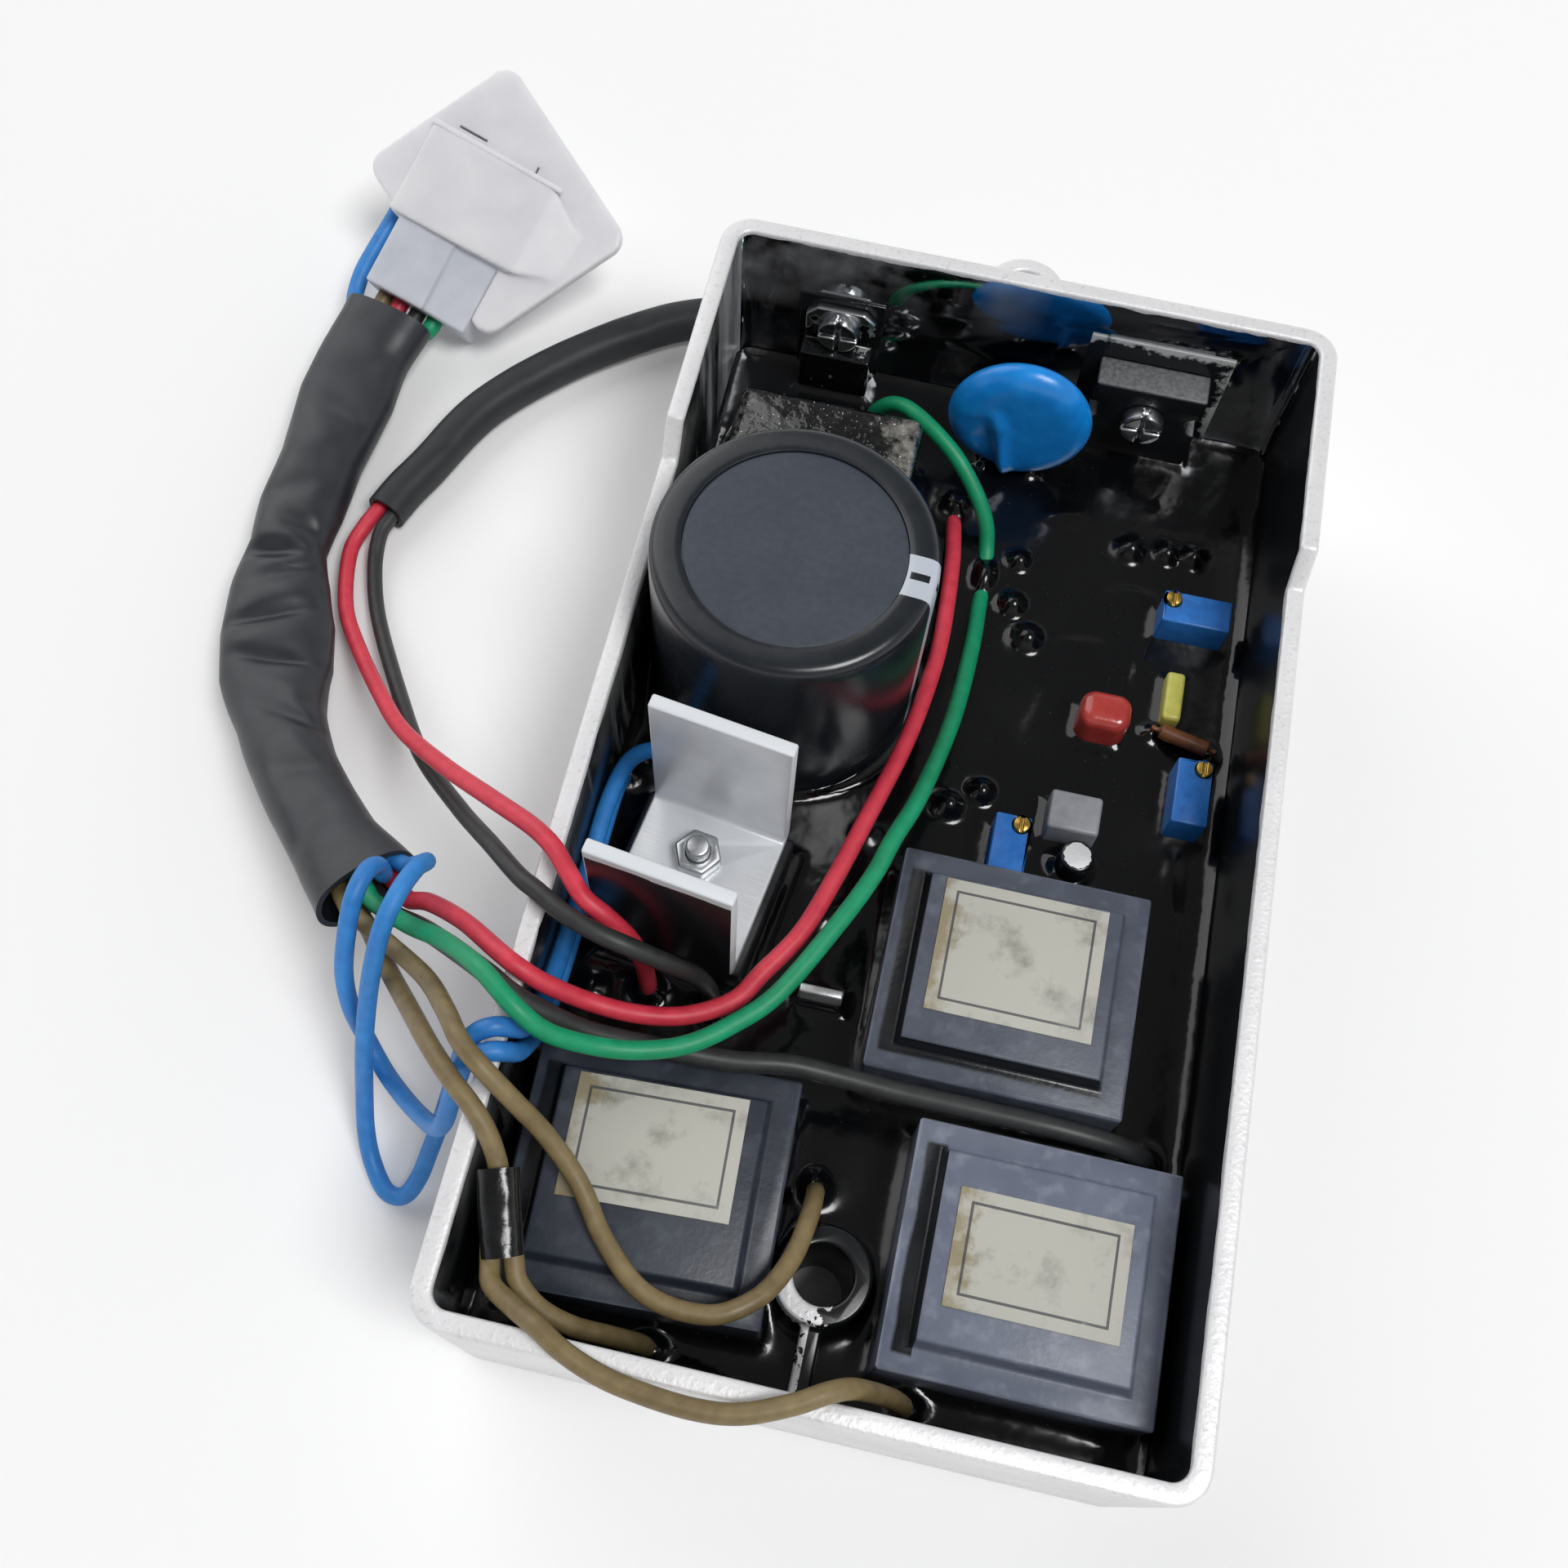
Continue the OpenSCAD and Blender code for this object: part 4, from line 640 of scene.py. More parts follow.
def turned(name, profile, centre, steps=96):
    """A closed profile of radius and height in millimetres, spun round an upright axis."""
    mesh = bpy.data.meshes.new(name)
    points = [(r * MM, 0, z * MM) for r, z in profile]
    edges = [(i, (i + 1) % len(points)) for i in range(len(points))]
    mesh.from_pydata(points, edges, [])
    obj = linked(name, mesh)
    open_mesh(obj)
    bpy.ops.mesh.spin(steps=steps, angle=2 * math.pi, center=(0, 0, 0), axis=(0, 0, 1))
    bpy.ops.mesh.select_all(action="SELECT")
    bpy.ops.mesh.remove_doubles(threshold=MERGE)
    bpy.ops.mesh.normals_make_consistent(inside=False)
    close_mesh()
    mesh.transform(Matrix.Translation(Vector(centre)))
    shade(50)
    return obj


def points_of(mesh):
    """The mesh's points as one row of x, y and z each."""
    flat = numpy.empty(len(mesh.vertices) * 3)
    mesh.vertices.foreach_get("co", flat)
    return flat.reshape(-1, 3)


# Leads and sleeves
def between(a, b, c, d, t):
    """A point on the curve from b to c, whose neighbours are a and d."""
    line = 2 * b + (c - a) * t
    bend = (2 * a - 5 * b + 4 * c - d) * t * t
    twist = (3 * b - a - 3 * c + d) * t**3
    return 0.5 * (line + bend + twist)


def smooth(route, steps):
    """The same curve as the solid's, through chosen points given in millimetres."""
    points = [Vector(p) * MM for p in route]
    first = 2 * points[0] - points[1]
    last = 2 * points[-1] - points[-2]
    chain = [first, *points, last]
    line = [between(*chain[i : i + 4], k / steps) for i in range(len(points) - 1) for k in range(steps)]
    return [*line, points[-1]]


def tube(name, line, thick):
    """A round curve along a line, capped at both ends."""
    curve = bpy.data.curves.new(name, "CURVE")
    curve.dimensions = "3D"
    curve.bevel_depth = thick * MM / 2
    curve.bevel_resolution = 4
    curve.use_fill_caps = True
    spline = curve.splines.new("POLY")
    spline.points.add(len(line) - 1)
    for point, place in zip(spline.points, line):
        point.co = (*place, 1)
    spline.use_smooth = True
    return linked(name, curve)


def lead(name, route, thick, finish, slot, node):
    """One insulated lead that stands for its solid."""
    line = smooth(route, LEAD_STEPS)
    obj = settle(tube(name, line, thick), finish, slot, node)


def stub(name, route, finish, slot, *nodes):
    """A short lead between the sleeve and the plug, too short to count as a free cord."""
    alone(tube(name, smooth(route, LEAD_STEPS), SLEEVED_THICK))
    bpy.ops.object.convert(target="MESH")
    shade(60)
    return settle(bpy.context.view_layer.objects.active, finish, slot, *nodes)


def drawn_in(route):
    """A lead's points, begun inside the flat sleeve and nearer to its middle."""
    mouth = Vector(MAIN_SLEEVE[0])
    inward = Vector((-4.2, 3.7, -2.2))
    return [tuple(mouth + inward + 0.75 * (Vector(route[0]) - mouth)), *route]


def dent(creases, along, flat):
    """Depth of all creases at one place, as a share of the half thickness."""
    depth = 0.0
    for at, deep, lean, beside, reach in creases:
        off = (along - at - lean * flat) / reach
        aside = (flat - beside) / 0.8
        depth += deep * math.exp(-off * off - aside * aside)
    return depth


def sleeve_mesh(name, route, wide, thick, widths, creases, sides):
    """An open sleeve with a wall; its width changes along the run and creases dent it."""
    line = smooth(route, 16)
    wall = 0.7 * MM
    # Powers that square the section off a little, and the share and pitch of a fine ripple.
    square_wide = 0.8
    square_high = 0.9
    ripple_share = 0.03
    ripple_pitch = 130
    rows = []
    gone = 0.0
    for i, place in enumerate(line):
        if i:
            gone += (place - line[i - 1]).length
        ahead = (line[min(i + 1, len(line) - 1)] - line[max(i - 1, 0)]).normalized()
        side = ahead.cross(Vector((0, 0, 1))).normalized()
        rows.append((place, side, side.cross(ahead), gone))
    vertices = []
    faces = []

    def ring(row, inset):
        place, side, over, gone = row
        along = gone / MM
        broad = wide * float(numpy.interp(along, [w[0] for w in widths], [w[1] for w in widths]))
        deep = thick + 0.3 * (wide - broad)
        for k in range(sides):
            angle = 2 * math.pi * k / sides
            flat = math.copysign(abs(math.cos(angle)) ** square_wide, math.cos(angle))
            high = math.copysign(abs(math.sin(angle)) ** square_high, math.sin(angle))
            ripple = ripple_share * noise.noise(Vector((gone * ripple_pitch, flat * 1.3, high * 1.3)))
            swell = 1 - dent(creases, along, flat) * max(0.0, high) + ripple
            half_wide = broad * MM / 2 * (1 + 0.5 * ripple) - inset
            half_thick = deep * MM / 2 * swell - inset
            vertices.append(place + side * (half_wide * flat) + over * (half_thick * high))

    def skin(a, b):
        for k in range(sides):
            n = (k + 1) % sides
            faces.append((a * sides + k, a * sides + n, b * sides + n, b * sides + k))

    # Both mouths turn in and run a little way back inside.
    depth = 14
    count = len(rows)
    turned_in = count + depth
    for row in rows:
        ring(row, 0.0)
    for row in (*reversed(rows[-depth:]), *rows[:depth]):
        ring(row, wall)
    for i in range(turned_in - 1):
        skin(i, i + 1)
    skin(turned_in, 0)
    for i in range(turned_in, turned_in + depth - 1):
        skin(i + 1, i)
    faces.append([(turned_in - 1) * sides + k for k in range(sides)])
    faces.append([(turned_in + depth - 1) * sides + k for k in reversed(range(sides))])
    mesh = bpy.data.meshes.new(name)
    mesh.from_pydata(vertices, [], faces)
    obj = linked(name, mesh)
    open_mesh(obj)
    bpy.ops.mesh.normals_make_consistent(inside=False)
    close_mesh()
    shade(60)
    return obj, line


def sleeve_cord(name, route, wide, thick, widths, creases, sides, finish, node):
    """A sleeve with leads inside, in place of its solid."""
    obj, line = sleeve_mesh(name, route, wide, thick, widths, creases, sides)
    settle(obj, finish, "sleeve_black", node)


# Routes in millimetres, from the sleeve or the plug's side to the resin.
RED_MAIN = [(-61.8, -24.8, 20.9), (-59.5, -26.7, 22.1), (-56, -27.5, 25.5), (-50, -30.5, 31),
            (-44.3, -34.2, 35.2), (-41.5, -35.7, 36), (-38, -36.5, 34), (-33, -36.5, 30.5),
            (-27.5, -36.3, 29.2), (-22, -35, 28.5), (-17, -32, 28.5), (-14.5, -28, 28.5),
            (-11, -22, 28.5), (-8.5, -14, 28), (-6, -4, 27), (-3.5, 7, 25), (-2, 18, 22),
            (-1.5, 27.5, 19.5), (-2, 41, 16), (-3, 50.5, 12.5), (-3.2, 53, 11)]
GREEN_RUN = [(-64.9, -26.8, 23.5), (-62.7, -28.8, 24.7), (-57, -31.5, 28), (-51, -34, 33.5),
             (-45, -37.5, 38.4), (-40, -41, 39.2), (-36, -42.5, 36.5), (-31, -42, 33), (-26, -41, 31.5),
             (-21, -39, 30.8), (-16.5, -35.5, 30.5), (-12, -30.5, 30.5), (-7, -20.5, 30), (-4, -13, 29),
             (-2.5, -7.5, 28.5), (-0.5, -1, 27), (1.5, 9.5, 24), (2.5, 18.5, 20.5), (3, 29.5, 16),
             (3, 37, 13), (3, 42, 11.8), (2.5, 46.5, 13), (1.5, 49, 16), (-1, 51.5, 19.5),
             (-5, 54.8, 22.5), (-10.5, 58.5, 24), (-14.5, 61, 23), (-17.5, 62, 19), (-19, 62.5, 11)]
BLACK_MAIN = [(-63.6, -26.9, 20.9), (-61.4, -28.9, 22.1), (-56, -30.5, 24), (-49.5, -34, 29.5),
              (-44.4, -37.2, 35.1), (-41.6, -38.8, 36.1), (-38, -39.6, 34), (-32.5, -39.8, 30),
              (-26, -39.3, 27.7), (-20, -38.9, 26.8), (-15, -38.4, 26), (-9, -37.2, 25.2),
              (-3, -37, 24.2), (4, -37.1, 23.6), (14, -37.1, 23.5), (24, -37.1, 23.3), (31, -37.1, 21.5),
              (35, -37, 17.5), (36, -36.8, 12)]
RED_AUX = [(-87.2, 40.9, 3.3), (-88.4, 37.3, 3.3), (-89.3, 34.4, 3.3), (-90, 29.5, 3), (-87.5, 20.5, 3.5),
           (-82.5, 13, 6), (-75.5, 4.5, 11), (-69, -2.5, 17), (-60, -9.5, 25.5), (-51.5, -15, 32.5),
           (-44.5, -19, 36.5), (-41, -21.5, 37.8), (-38.6, -24, 38), (-36, -26.6, 37.6), (-33, -27.8, 36),
           (-30.5, -28.4, 32), (-29.2, -28.6, 26), (-28.8, -28.6, 19), (-28.8, -28.6, 11.5)]
BLACK_AUX = [(-84.9, 40.1, 3.3), (-86.1, 36.5, 3.3), (-86.7, 33.5, 3), (-85.8, 28, 2.2), (-82.5, 20, 2.5),
             (-74, 6.5, 7.5), (-66.5, -4, 13.5), (-57, -13.5, 22), (-49.5, -20.5, 31), (-44.4, -25, 35.4),
             (-41.5, -26.8, 36.8), (-37.5, -29, 37.4), (-33, -30.4, 37.4), (-29, -30.8, 36),
             (-25, -30.6, 32.5), (-21.8, -29.8, 27), (-20.4, -29.2, 19), (-20.2, -29.2, 11.5)]
BLUE_A = [(-63.2, -24.7, 23.8), (-63, -24.9, 27.2), (-63.3, -26.6, 29.8), (-63.8, -30, 29.8),
          (-64.2, -33.7, 26.5), (-64.4, -37.3, 21.5), (-63.6, -40.1, 16.8), (-62, -42.2, 12.3),
          (-57.9, -46.3, 11), (-52, -50.6, 15.5), (-47.4, -52.8, 22), (-45.6, -50, 29),
          (-44.1, -47.5, 35), (-41.9, -46.1, 36.1), (-40, -45.4, 35.3), (-39.3, -44.4, 32),
          (-39.4, -42.2, 27), (-39.4, -38.6, 21.8), (-39.3, -32, 18.6), (-39.3, -24, 17.7),
          (-39.3, -14, 17.4), (-39.3, -6, 17), (-39.3, -2, 15), (-39.3, 0, 11.5)]
BLUE_B = [(-61.2, -22.8, 23.3), (-58.9, -23, 25.3), (-57.1, -23.5, 28.6), (-57.2, -25.7, 31.8),
          (-57.8, -29.5, 33.4), (-58.7, -33.6, 32), (-59.5, -37.8, 27.5), (-60.2, -41.4, 21.5),
          (-60.4, -45.2, 15.8), (-60.6, -48.4, 9.5), (-60, -52.5, 4.6), (-58.4, -55.9, 2.4),
          (-55.8, -58.8, 2), (-53.3, -58.9, 2.6), (-51.7, -56.6, 4.8), (-50.8, -53.4, 7.5),
          (-49.5, -50, 12.5), (-47.1, -47.4, 23.5), (-45, -45.4, 33), (-43.7, -44.2, 35.8),
          (-41.8, -43.2, 36.5), (-40.2, -42.6, 35.2), (-39.3, -41.6, 32.4), (-39.3, -38.8, 28.4),
          (-39.3, -35, 24.5), (-39.3, -28, 22), (-39.3, -18, 20.7), (-39.3, -8, 20.3), (-38.4, -1, 19),
          (-36.4, 3, 15.5), (-35.8, 4, 11.5)]
BROWN_A = [(-65.6, -29.2, 20.9), (-63.4, -31.1, 22.1), (-58.5, -36.5, 24), (-53.5, -41.5, 29.5),
           (-48.5, -46.5, 34.5), (-44.6, -50, 36.3), (-42, -52, 36.3), (-39.6, -54.2, 35.2),
           (-37.6, -57.3, 33), (-36.6, -60.5, 32.4)]
BROWN_C = [(-66.7, -29, 23.4), (-64.5, -30.9, 24.6), (-58, -34.5, 27.5), (-52, -38.3, 31.5),
           (-47.6, -42.6, 36.4), (-44.6, -46, 38.6), (-41.5, -48.3, 38.6), (-37.5, -50.6, 36),
           (-33.5, -52.8, 32), (-29, -56.5, 29), (-25, -61.5, 28.1), (-20.5, -65.5, 28.1),
           (-16.5, -67, 28), (-12, -67, 27.8), (-9, -65.8, 27.8), (-6, -63, 27), (-3.9, -58.5, 25.2),
           (-3, -53.5, 22.8), (-2.8, -50, 18.5), (-2.8, -48.5, 11.5)]
BROWN_D = [(-34.9, -62.2, 32), (-33.4, -66.4, 30.8), (-32.4, -68.4, 30.2), (-29.8, -70.3, 28.8),
           (-26, -71.2, 26.5), (-22, -71, 22.5), (-19, -70.7, 17.5), (-18, -70.7, 11.5)]
BROWN_E = [(-36.9, -62.9, 32), (-35.9, -67.1, 30.8), (-34.9, -69.4, 31.6), (-31.8, -71.2, 33.8),
           (-28.8, -72.6, 35.6), (-25.5, -74.4, 35.9), (-21.5, -75.8, 35.7), (-17, -76.6, 35.7),
           (-11, -77, 35.7), (-6, -76.4, 35.7), (-1, -74.4, 35.8), (2.5, -72.4, 35.5), (5.2, -71.3, 33),
           (9, -70.8, 26), (11.5, -70.7, 19), (12.5, -70.7, 11.5)]
BROWN_JOINT = [(-37.5, -57.6, 33), (-36.3, -61.5, 32.3), (-34.7, -66.2, 31)]
MAIN_SLEEVE = [(-65, -26.5, 22), (-72.5, -20, 18), (-82.5, -9.5, 13), (-89.5, 1, 9), (-93.5, 10.5, 7),
               (-97, 21, 5.5), (-98.5, 31.5, 5), (-98.5, 43.5, 5), (-98.6, 54.5, 5), (-98.2, 62.5, 5.5),
               (-96.8, 68.3, 6.6), (-96.3, 70.4, 7)]
THIN_SLEEVE = [(-87, 37.5, 3.3), (-85.5, 42, 3.3), (-83.5, 46.5, 3.3), (-78, 59.5, 3.3), (-68.5, 71, 3.3),
               (-58, 80, 3.3), (-50.5, 84.5, 3.3), (-42, 87.2, 3.3), (-33, 88, 3.3)]
PLUG_SECOND = [(-100.9, 64.1, 5.5), (-99.8, 69, 6.4), (-99.3, 71, 6), (-98.8, 72.8, 6), (-98, 75.2, 7.1)]
PLUG_FOURTH = [(-95.9, 63, 5.5), (-94.7, 67.8, 6.3), (-94, 69.8, 5.5), (-93.4, 71.3, 5), (-92.5, 73.8, 6)]
PLUG_RIGHT = [(-93.2, 62.1, 5.3), (-92, 66.9, 6.2), (-91.2, 69.2, 5.4), (-90.3, 71.1, 4.9),
              (-88.6, 76, 7)]
PLUG_MIDDLE = [(-98.5, 63.1, 5.5), (-97.4, 67.9, 6.4), (-96.7, 70.4, 5.8), (-96, 72.6, 5.9),
               (-94.4, 77.4, 8)]
PLUG_LEFT = [(-102.6, 64.5, 5.6), (-102.2, 69.3, 6.4), (-103.2, 73.4, 6.2), (-103, 77, 7.5),
             (-101.9, 80.5, 9), (-100.4, 85, 10.6), (-99, 89.1, 12.2)]
# Thicknesses in millimetres, and steps of a lead's curve between two points of its route.
LEAD_THICK = 2.3
SLEEVED_THICK = 2.6
FLAT_WIDE = 14
FLAT_THICK = 8
ROUND_THICK = 6
JOINT_THICK = 4.7
LEAD_STEPS = 8


# Plug
plug_leads = [stub("plug_lead_red", PLUG_MIDDLE, RED, "red_pvc"),
              stub("plug_lead_brown", PLUG_SECOND, BROWN, "brown_pvc"),
              stub("plug_lead_black", PLUG_FOURTH, BLACK, "black_pvc"),
              stub("plug_lead_green", PLUG_RIGHT, GREEN, "green_pvc"),
              stub("plug_lead_blue", PLUG_LEFT, BLUE, "blue_pvc", "plug_wires")]
plug_housing = dress("plug_housing", 0.5, 3, NYLON, "nylon")
PLUG_TURNS = [(-14, "Z"), (10, "Y"), (24, "X")]
PLUG_PLACE = Matrix.Translation(Vector((-100.6, 73.4, 11)) * MM)
for degrees, axis in PLUG_TURNS:
    PLUG_PLACE = PLUG_PLACE @ Matrix.Rotation(math.radians(degrees), 4, axis)


def hulled(obj):
    """Closes an object's points into their outer hull."""
    open_mesh(obj)
    bpy.ops.mesh.remove_doubles(threshold=MERGE)
    bpy.ops.mesh.convex_hull()
    bpy.ops.mesh.normals_make_consistent(inside=False)
    close_mesh()
    return obj


def wrapped(name, points):
    """The closed block with these corners, given in the plug's own millimetres."""
    mesh = bpy.data.meshes.new(name)
    mesh.from_pydata([PLUG_PLACE @ (Vector(p) * MM) for p in points], [], [])
    return hulled(linked(name, mesh))


def box(name, low, high):
    """A block between two corners in the plug's own millimetres."""
    return wrapped(name, itertools.product(*zip(low, high)))


def combine(obj, tool, operation):
    """Joins a tool to a piece or cuts it out, then removes the tool."""
    shaped(obj, "BOOLEAN", operation=operation, solver="EXACT", object=tool)
    bpy.data.objects.remove(tool, do_unlink=True)


def milky_hood():
    """One moulding that runs over the housing's body, with a raised edge and two slits."""
    hood = hulled(linked("plug_hood_moulded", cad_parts["plug_hood"].data.copy()))
    left = -1.75
    right = 19.8
    far = 26.3
    near = 11.4
    near_corner = (26.4, 14.2)
    far_corner = (27.2, 21.5)
    crown = 1.35
    edge = 1.1
    slope = -0.45
    deep = -4.2
    saddle = [(left, near, edge), (left, far, edge), (7.2, far, crown), (9.2, near, crown),
              (right, far, edge), (right, near + 0.2, edge), (*near_corner, slope), (*far_corner, slope),
              (left, near, deep), (left, far, deep), (*near_corner, deep), (*far_corner, deep)]
    combine(hood, wrapped("saddle", saddle), "UNION")
    combine(hood, box("rear_room", (-40, -40, -30), (17.32, near, 30)), "DIFFERENCE")
    melted(hood, 0.3, 12)
    bead = box("bead", (-1.9, 26.0, 0.2), (20.9, 26.9, 1.4))
    combine(hood, shaped(bead, "BEVEL", width=0.3 * MM, segments=3), "UNION")
    combine(hood, box("slit_long", (1.6, 27.75, -3), (6.5, 28.15, 4)), "DIFFERENCE")
    combine(hood, box("slit_short", (15.3, 26.95, -3), (15.65, 28.3, 4)), "DIFFERENCE")
    shade(40)
    return hood


plug_hood = settle(milky_hood(), HOOD_NYLON, "nylon", "plug_hood")
small_plug = dress("small_plug", 0.4, 3, NYLON, "nylon")

# Width shares by the distance from the mouth, read off the photograph.
MAIN_WIDTHS = [(0, 0.99), (4, 0.92), (9, 0.83), (16, 0.81), (26, 0.81), (35, 0.87), (44, 1.12),
               (52, 1.15), (60, 1.01), (67, 0.79), (74, 0.9), (83, 0.87), (95, 1.05), (104, 1.0),
               (112, 1.04)]
EVEN = [(0, 1), (200, 1)]
# Creases: distance along, depth, slant, place across and half breadth; bulges have a negative depth.
MAIN_CREASES = [(12, 0.12, 2.5, -0.5, 2.2), (22, 0.16, -3, 0.4, 2.0), (28, -0.1, 0, 0, 3.0),
                (34, 0.3, -6, 0.6, 1.3), (39, -0.14, -4, 0.4, 1.8), (44.9, 0.36, -2.6, 0.1, 1.1),
                (49, -0.16, 0, -0.2, 2.0), (53, 0.34, 0.6, -0.2, 1.1), (56.5, -0.14, 0, 0.3, 1.8),
                (60, 0.2, 2, 0.5, 1.3), (64.5, 0.4, 0, -0.3, 1.4), (70, 0.24, -2, 0.7, 1.6),
                (76, 0.14, 3, -0.6, 2.0), (84.5, -0.14, 0, -0.1, 3.2), (90.5, 0.18, -2.5, 0.2, 2.4),
                (101, -0.12, 0, 0, 3.0)]
THIN_CREASES = [(14, 0.08, 1, 0, 1.6), (33, 0.07, -1, 0, 1.6), (52, 0.08, 1, 0, 1.6)]
JOINT_CREASES = [(3, 0.1, 0.5, 0, 1.4), (6.5, 0.08, -0.5, 0, 1.4)]
sleeve_cord("flat_sleeve", MAIN_SLEEVE, FLAT_WIDE, FLAT_THICK, MAIN_WIDTHS, MAIN_CREASES, 56, SLEEVING,
            "main_sleeve")
sleeve_cord("round_sleeve", THIN_SLEEVE, ROUND_THICK, ROUND_THICK, EVEN, THIN_CREASES, 28, ROUND_SLEEVING,
            "thin_sleeve")
joint_cover, _ = sleeve_mesh("brown_joint_cover", BROWN_JOINT, JOINT_THICK, JOINT_THICK - 0.4, EVEN,
                             JOINT_CREASES, 24)
settle(joint_cover, TAPE, "sleeve_black", "brown_joint_sleeve")

lead("red_lead", drawn_in(RED_MAIN), LEAD_THICK, RED, "red_pvc", "red_main_wire")
lead("green_lead", drawn_in(GREEN_RUN), LEAD_THICK, GREEN, "green_pvc", "green_wire")
lead("black_lead", drawn_in(BLACK_MAIN), SLEEVED_THICK, BLACK, "black_pvc", "black_main_wire")
lead("red_pair_lead", RED_AUX, LEAD_THICK, RED, "red_pvc", "red_aux_wire")
lead("black_pair_lead", BLACK_AUX, LEAD_THICK, BLACK, "black_pvc", "black_aux_wire")
lead("blue_lead_a", drawn_in(BLUE_A), LEAD_THICK, BLUE, "blue_pvc", "blue_wire_a")
lead("blue_lead_b", drawn_in(BLUE_B), LEAD_THICK, BLUE, "blue_pvc", "blue_wire_b")
lead("brown_lead_a", drawn_in(BROWN_A), LEAD_THICK, BROWN, "brown_pvc", "brown_wire_a")
lead("brown_lead_c", drawn_in(BROWN_C), LEAD_THICK, BROWN, "brown_pvc", "brown_wire_c")
lead("brown_lead_d", BROWN_D, LEAD_THICK, BROWN, "brown_pvc", "brown_wire_d")
lead("brown_lead_e", BROWN_E, LEAD_THICK, BROWN, "brown_pvc", "brown_wire_e")

# Tray
dress("case", 0.45, 3, CASTING, "cast_aluminium")

# Parts that stand in the resin: centre, half sizes, turn in degrees and the resin's climb.
STANDING = [(22.99, -53.7, 15.65, 14.3, 0, 0.6), (15.1, -20.5, 15.65, 14.3, 0, 0.6),
            (-22, -53.5, 15.65, 14.3, 2.5, 1.0), (-25.9, -15.25, 10, 10, -8, 1.2),
            (-23.15, 48.25, 13.15, 8.25, 0, 1.4), (32.7, 40, 4.77, 2.42, 0, 0.4),
            (35.2, 12.4, 2.42, 4.77, 0, 0.4), (12.6, -1.15, 2.42, 4.77, 0, 0.4),
            (-25.2, 70.5, 5.2, 2.3, 0, 0.6), (20.5, 70.3, 8, 2.5, 0, 0.5),
            (31.6, 27.65, 1.3, 3.75, 0, 0.5), (20.45, 6.2, 3.45, 2.8, 0, 0.5),
            (-7.2, -25, 2.8, 0.6, 0, 1.2), (22.4, 21.9, 2.5, 2, 0, 0.9)]
# Round parts, lead ends and legs: centre, radius and climb.
ROUND_STANDING = [(-21.5, 19.2, 17.8, 1.1), (21.6, 0.1, 2.3, 1.0), (0, -59, 5.75, 1.2),
                  (-3.2, 53, 1.2, 1.6), (36, -36.8, 1.3, 1.8), (-28.8, -28.6, 1.2, 1.6),
                  (-20.2, -29.2, 1.2, 1.6), (-2.8, -48.5, 1.2, 1.6), (12.5, -70.7, 1.2, 1.4),
                  (-18, -70.7, 1.2, 1.4), (-35.8, 4, 1.2, 1.4), (-39.3, 0, 1.2, 1.4),
                  (-19, 62.5, 1.2, 1.6), (6.5, 61.3, 0.5, 1.4), (-0.5, 61.3, 0.5, 1.4),
                  (29.5, 22.5, 0.4, 1.2), (38.1, 20.7, 0.4, 1.2)]
# Drowned parts: centre, half sizes, turn and height of each swelling.
DROWNED = [(4.2, 5.3, 1.7, 1.7, 0, 2.0), (8.2, 8.4, 1.6, 1.6, 0, 1.8), (7.4, 45.6, 1.4, 1.4, 0, 1.5),
           (7.6, 38.2, 1.7, 1.7, 0, 1.8), (10.5, 33.2, 1.9, 1.9, 0, 2.0), (28.2, 51.9, 1.6, 1.6, 0, 1.7),
           (32, 52.1, 1.6, 1.6, 0, 1.7), (22.9, 51.3, 1.8, 1.8, 0, 1.9), (3, 42, 2.4, 1.4, 88, 1.6),
           (14, 22, 4.5, 1.3, 75, 0.2), (18, 34, 4.5, 1.3, 10, 0.2), (27, 31, 1.4, 4, 0, 0.2),
           (24, 44, 3.5, 1.3, 0, 0.25), (35, 2, 3.5, 1.3, 90, 0.3), (-6, -1, 1.8, 1.8, 0, 0.6),
           (-9, -14, 2, 1.2, 60, 0.5), (12, 55, 3, 1.2, 20, 0.3), (-36, -30, 1.6, 1.6, 0, 0.6)]
# The resin's half sizes and level, and the cell of its grid.
RESIN_HALF_WIDE = 40.6
RESIN_HALF_LONG = 73.1
RESIN_LEVEL = 13
RESIN_CELL = 0.55
# Its climb at the side and end walls, and how far from a wall and from a part a climb falls off.
SIDE_CLIMB = 0.8
END_CLIMB = 0.7
WALL_REACH = 0.9
PART_REACH = 0.8
# Height and span of the slow waves in its surface, and the depth of its skin.
WAVE_HEIGHT = 0.22
WAVE_SPAN = 11
RESIN_SKIN = 1.5
# The boss: its place along the tray and the resin's clear radius.
BOSS_Y = -59
BOSS_CLEAR = 5.2


def seen_from(x, y, centre_x, centre_y, angle):
    """Places across and along a part that stands turned by so many degrees."""
    c = math.cos(math.radians(angle))
    s = math.sin(math.radians(angle))
    return c * (x - centre_x) + s * (y - centre_y), -s * (x - centre_x) + c * (y - centre_y)


